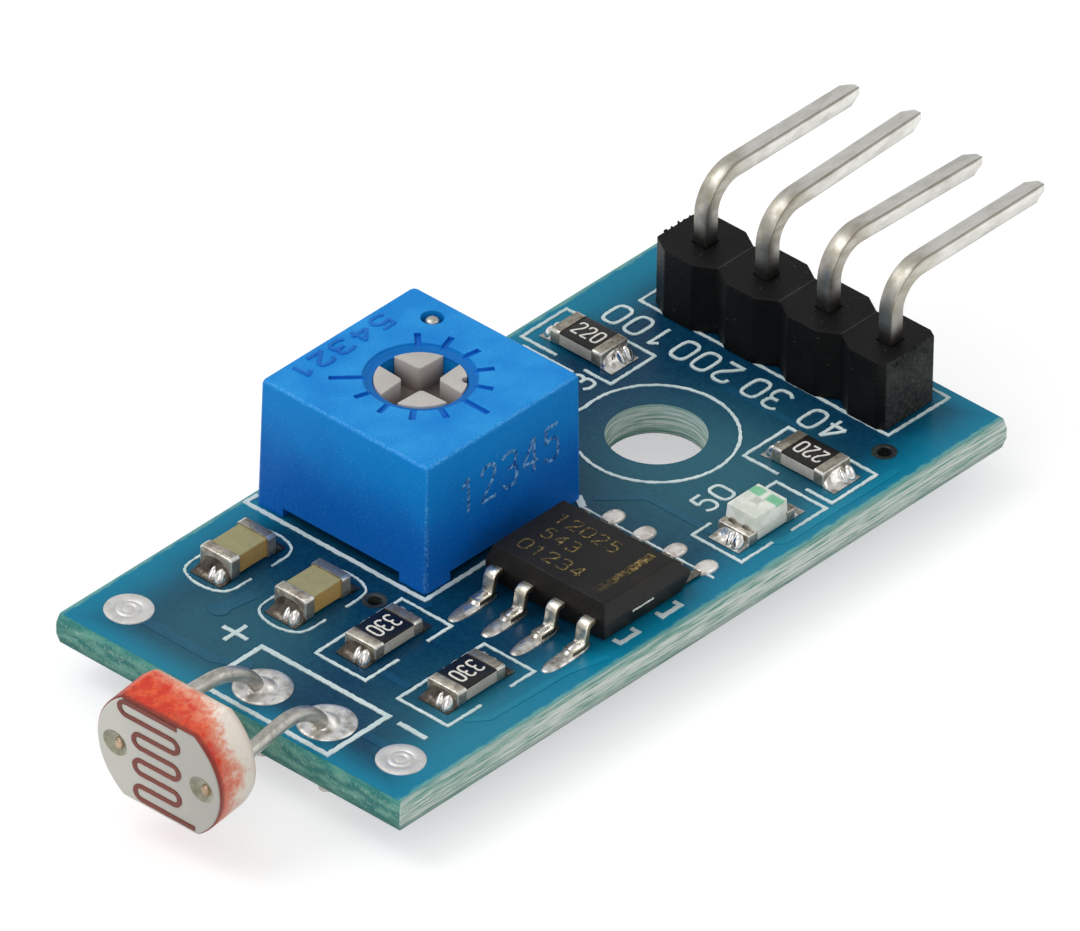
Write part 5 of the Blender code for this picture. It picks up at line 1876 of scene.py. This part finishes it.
@dataclass
class LightSensor(SubAssembly):
    """The photoresistor: its lacquered disc, the film on its face, and its two wires."""

    face: Vector = field(default_factory=lambda: Vector((-18.2, -1.33, 1.96)))
    turn: Sequence[float] = (2.0, -5.0, 2.5)
    thickness: float = 1.9
    rounding: float = 0.03
    film_width: float = 0.165
    film_height: float = 0.03
    film_pitch: float = 0.515
    film_lines: int = 7
    film_half: float = 0.62
    film_middle: Spot = (-0.06, -0.17)
    lead_spacing: float = 3.4
    recess_radius: float = 0.475
    recess_profile: Sequence[Spot] = (
        (0.0, -0.15), (0.0, -0.01), (-0.03, -0.012), (-0.1, -0.07), (-0.24, -0.12), (-0.445, -0.13),
    )
    wire_diameter: float = 0.5
    wire_bend: float = 2.0
    knee_height: float = 2.5
    mound_profile: Sequence[Spot] = (
        (0.0, -0.01), (0.0, 0.025), (-0.05, 0.06), (-0.16, 0.075), (-0.34, 0.055), (-0.5, 0.05),
    )

    def build(self) -> None:
        """Builds the disc, its film, the lead heads, the wires and their solder."""
        rotation = Euler([math.radians(angle) for angle in self.turn]).to_matrix().to_4x4()
        self.pose = Matrix.Translation(self.face) @ rotation
        coat = Lacquered("sensor_lacquer", "red_lacquer", self.face, rotation)
        self.soften("photoresistor_body", "sensor_disc", coat, self.rounding)
        self.add_film()
        self.add_heads()
        self.add_wire(1, self.lead_spacing / 2)
        self.add_wire(2, -self.lead_spacing / 2)

    def facing(self) -> Matrix:
        """Returns the place where X and Y run over the face as seen from outside and Z stands out of it."""
        return self.pose @ Matrix(((0, 0, -1, 0), (-1, 0, 0, 0), (0, 1, 0, 0), (0, 0, 0, 1)))

    def add_film(self) -> None:
        """Draws the winding film line on the face."""
        form = Form(self.facing())
        x, y = self.film_middle
        top = self.film_pitch * (self.film_lines - 1) / 2
        line = [(x + 0.85, y + top + 0.5), (x - 1.1, y + top + 0.5)]
        line += arc((x - 1.15, y + top + 0.25), 0.25, 95, 265, 8)
        for turn in range(self.film_lines - 1):
            side = 1 if turn % 2 == 0 else -1
            middle = (x + side * self.film_half, y + top - self.film_pitch * (turn + 0.5))
            line += arc(middle, self.film_pitch / 2, 90, 90 - side * 180, 12)
        line.append((x + 1.45, y - top - 0.02))
        form.ribbon(line, self.film_width, 0.0, self.film_height, 0.005)
        form.piece("film_line", [FILM], ["photoresistor_track"])

    def add_heads(self) -> None:
        """Fills the two recesses with glue and sets the wire heads in them."""
        form = Form(self.facing())
        bowl = [(self.recess_radius + out, height) for out, height in self.recess_profile]
        for x in (-self.lead_spacing / 2, self.lead_spacing / 2):
            form.turned(bowl, (x, 0.0))
            form.dome((x + 0.08, -0.05), (0.17, 0.22), -0.14, 0.15, 1)
        form.piece("wire_heads", [WELL, HEAD])

    def add_wire(self, number: int, across: float) -> None:
        """Bends one wire down into its pad and mounds the solder round it.

        Args:
            number: The wire's number.
            across: Where it leaves the disc.
        """
        name, joint = f"photoresistor_lead_{number}", f"photoresistor_solder_{number}"
        low, high = box(joint)
        x, y = ((low + high) / 2).xy
        start = self.pose @ Vector((self.thickness - 0.3, across, 0))
        corners = [start, Vector((x, y, self.knee_height)), Vector((x, y, box(name)[0].z))]
        form = Form()
        form.tube(bent(corners, self.wire_bend, 20), circle(self.wire_diameter))
        form.piece(f"bent_wire_{number}", [WIRE], [name])
        radius = (high.x - low.x) / 2
        mound = Form()
        crown = [(radius + out, BOARD_TOP + height) for out, height in self.mound_profile]
        mound.turned([*crown, (0.1, BOARD_TOP + 0.05)], (x, y), segments=56)
        mound.turned(self.cone(radius, self.wire_diameter / 2, low.z), (x, y), 1)
        foot = BOARD_TOP + 0.04
        mound.dome((x - 0.02, y), (radius * 0.5, radius * 0.46), foot, 0.4, 1, (-0.06, 0), 1.25)
        mound.dome((x - 0.3, y + 0.1), (0.26, 0.2), foot, 0.2, 1, (0.03, 0.0), 1.8)
        mound.piece(f"wire_solder_{number}", [JOINT, JOINT], [joint], smooth=75)


@dataclass
class Studio:
    """The pale floor, the lights and the camera."""

    floor_height: float = -1.3
    floor_reach: float = 600.0
    floor_lift: float = 0.52
    room_light: float = 0.6
    lamps: Sequence[tuple[str, Sequence[float], float, float]] = (
        ("key_light", (-120, 140, 300), 220, 1.0),
        ("front_light", (-280, -90, 150), 180, 0.5),
        ("side_light", (180, -220, 160), 180, 0.24),
    )
    azimuth: float = -48.2086
    elevation: float = 35.4954
    roll: float = 0.98128
    distance: float = 676.8285
    focal_pixels: float = 22181.79
    offset: Spot = (-0.17699, -2.39285)
    image_width: float = 1080.0
    sensor_width: float = 36.0

    def build(self) -> None:
        """Lays the floor, hangs the lights and places the camera."""
        self.add_floor()
        self.add_world()
        for lamp in self.lamps:
            self.add_lamp(*lamp)
        self.add_camera()

    def add_floor(self) -> None:
        """Lays a wide paper floor under the wire ends."""
        form = Form()
        reach = self.floor_reach
        corners = [(-reach, -reach), (reach, -reach), (reach, reach), (-reach, reach)]
        form.loft([[(x, y, self.floor_height + z) for x, y in corners] for z in (-2.0, -0.01)])
        floor = form.piece("paper_floor", [Paper("studio_paper", "milky_resin", self.floor_lift)])
        floor.parent = None

    def add_world(self) -> None:
        """Fills the room with even light."""
        world = bpy.data.worlds.new("studio_room")
        world.use_nodes = True
        sky = world.node_tree.nodes["Background"]
        sky.inputs["Color"].default_value = (1.0, 1.0, 1.0, 1.0)
        sky.inputs["Strength"].default_value = self.room_light
        bpy.context.scene.world = world

    def add_lamp(self, name: str, place: Sequence[float], size: float, strength: float) -> None:
        """Hangs a square soft light that looks at the part.

        Args:
            name: The light's name.
            place: Where it hangs.
            size: The length of its side.
            strength: The light it throws on the part, in watts for each square metre, before its angle.
        """
        data = bpy.data.lights.new(name, "AREA")
        data.size = size * MM
        data.energy = strength * math.pi * (Vector(place).length * MM) ** 2
        lamp = linked(name, data)
        lamp.location = Vector(place) * MM
        lamp.rotation_euler = (-Vector(place)).to_track_quat("-Z", "Y").to_euler()

    def add_camera(self) -> None:
        """Places the camera at the photograph's viewing angle."""
        turn, rise, tilt = (math.radians(angle) for angle in (self.azimuth, self.elevation, self.roll))
        back = Vector((math.sin(turn) * math.cos(rise), -math.cos(turn) * math.cos(rise), math.sin(rise)))
        right = Vector((math.cos(turn), math.sin(turn), 0))
        up = back.cross(right)
        across = right * math.cos(tilt) + up * math.sin(tilt)
        above = up * math.cos(tilt) - right * math.sin(tilt)
        eye = (across * -self.offset[0] + above * -self.offset[1] + back * self.distance) * MM
        data = bpy.data.cameras.new("camera")
        data.sensor_width = self.sensor_width
        data.sensor_fit = "HORIZONTAL"
        data.lens = self.focal_pixels / self.image_width * self.sensor_width
        data.clip_start = 0.1
        data.clip_end = 3.0
        camera = linked("camera", data)
        camera.matrix_world = Matrix.Translation(eye) @ Matrix((across, above, back)).transposed().to_4x4()
        bpy.context.scene.camera = camera


def main() -> None:
    """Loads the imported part, dresses it and sets the studio."""
    logging.basicConfig(level=logging.INFO, format="%(name)s: %(message)s")
    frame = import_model()
    nodes = frame["nodes"]
    bpy.context.scene.view_settings.view_transform = "Standard"
    Board(nodes).build()
    PinHeader(nodes).build()
    Trimmer(nodes).build()
    Comparator(nodes).build()
    Chips(nodes).build()
    Lamps(nodes).build()
    LightSensor(nodes).build()
    Studio().build()


if __name__ == "__main__":
    main()
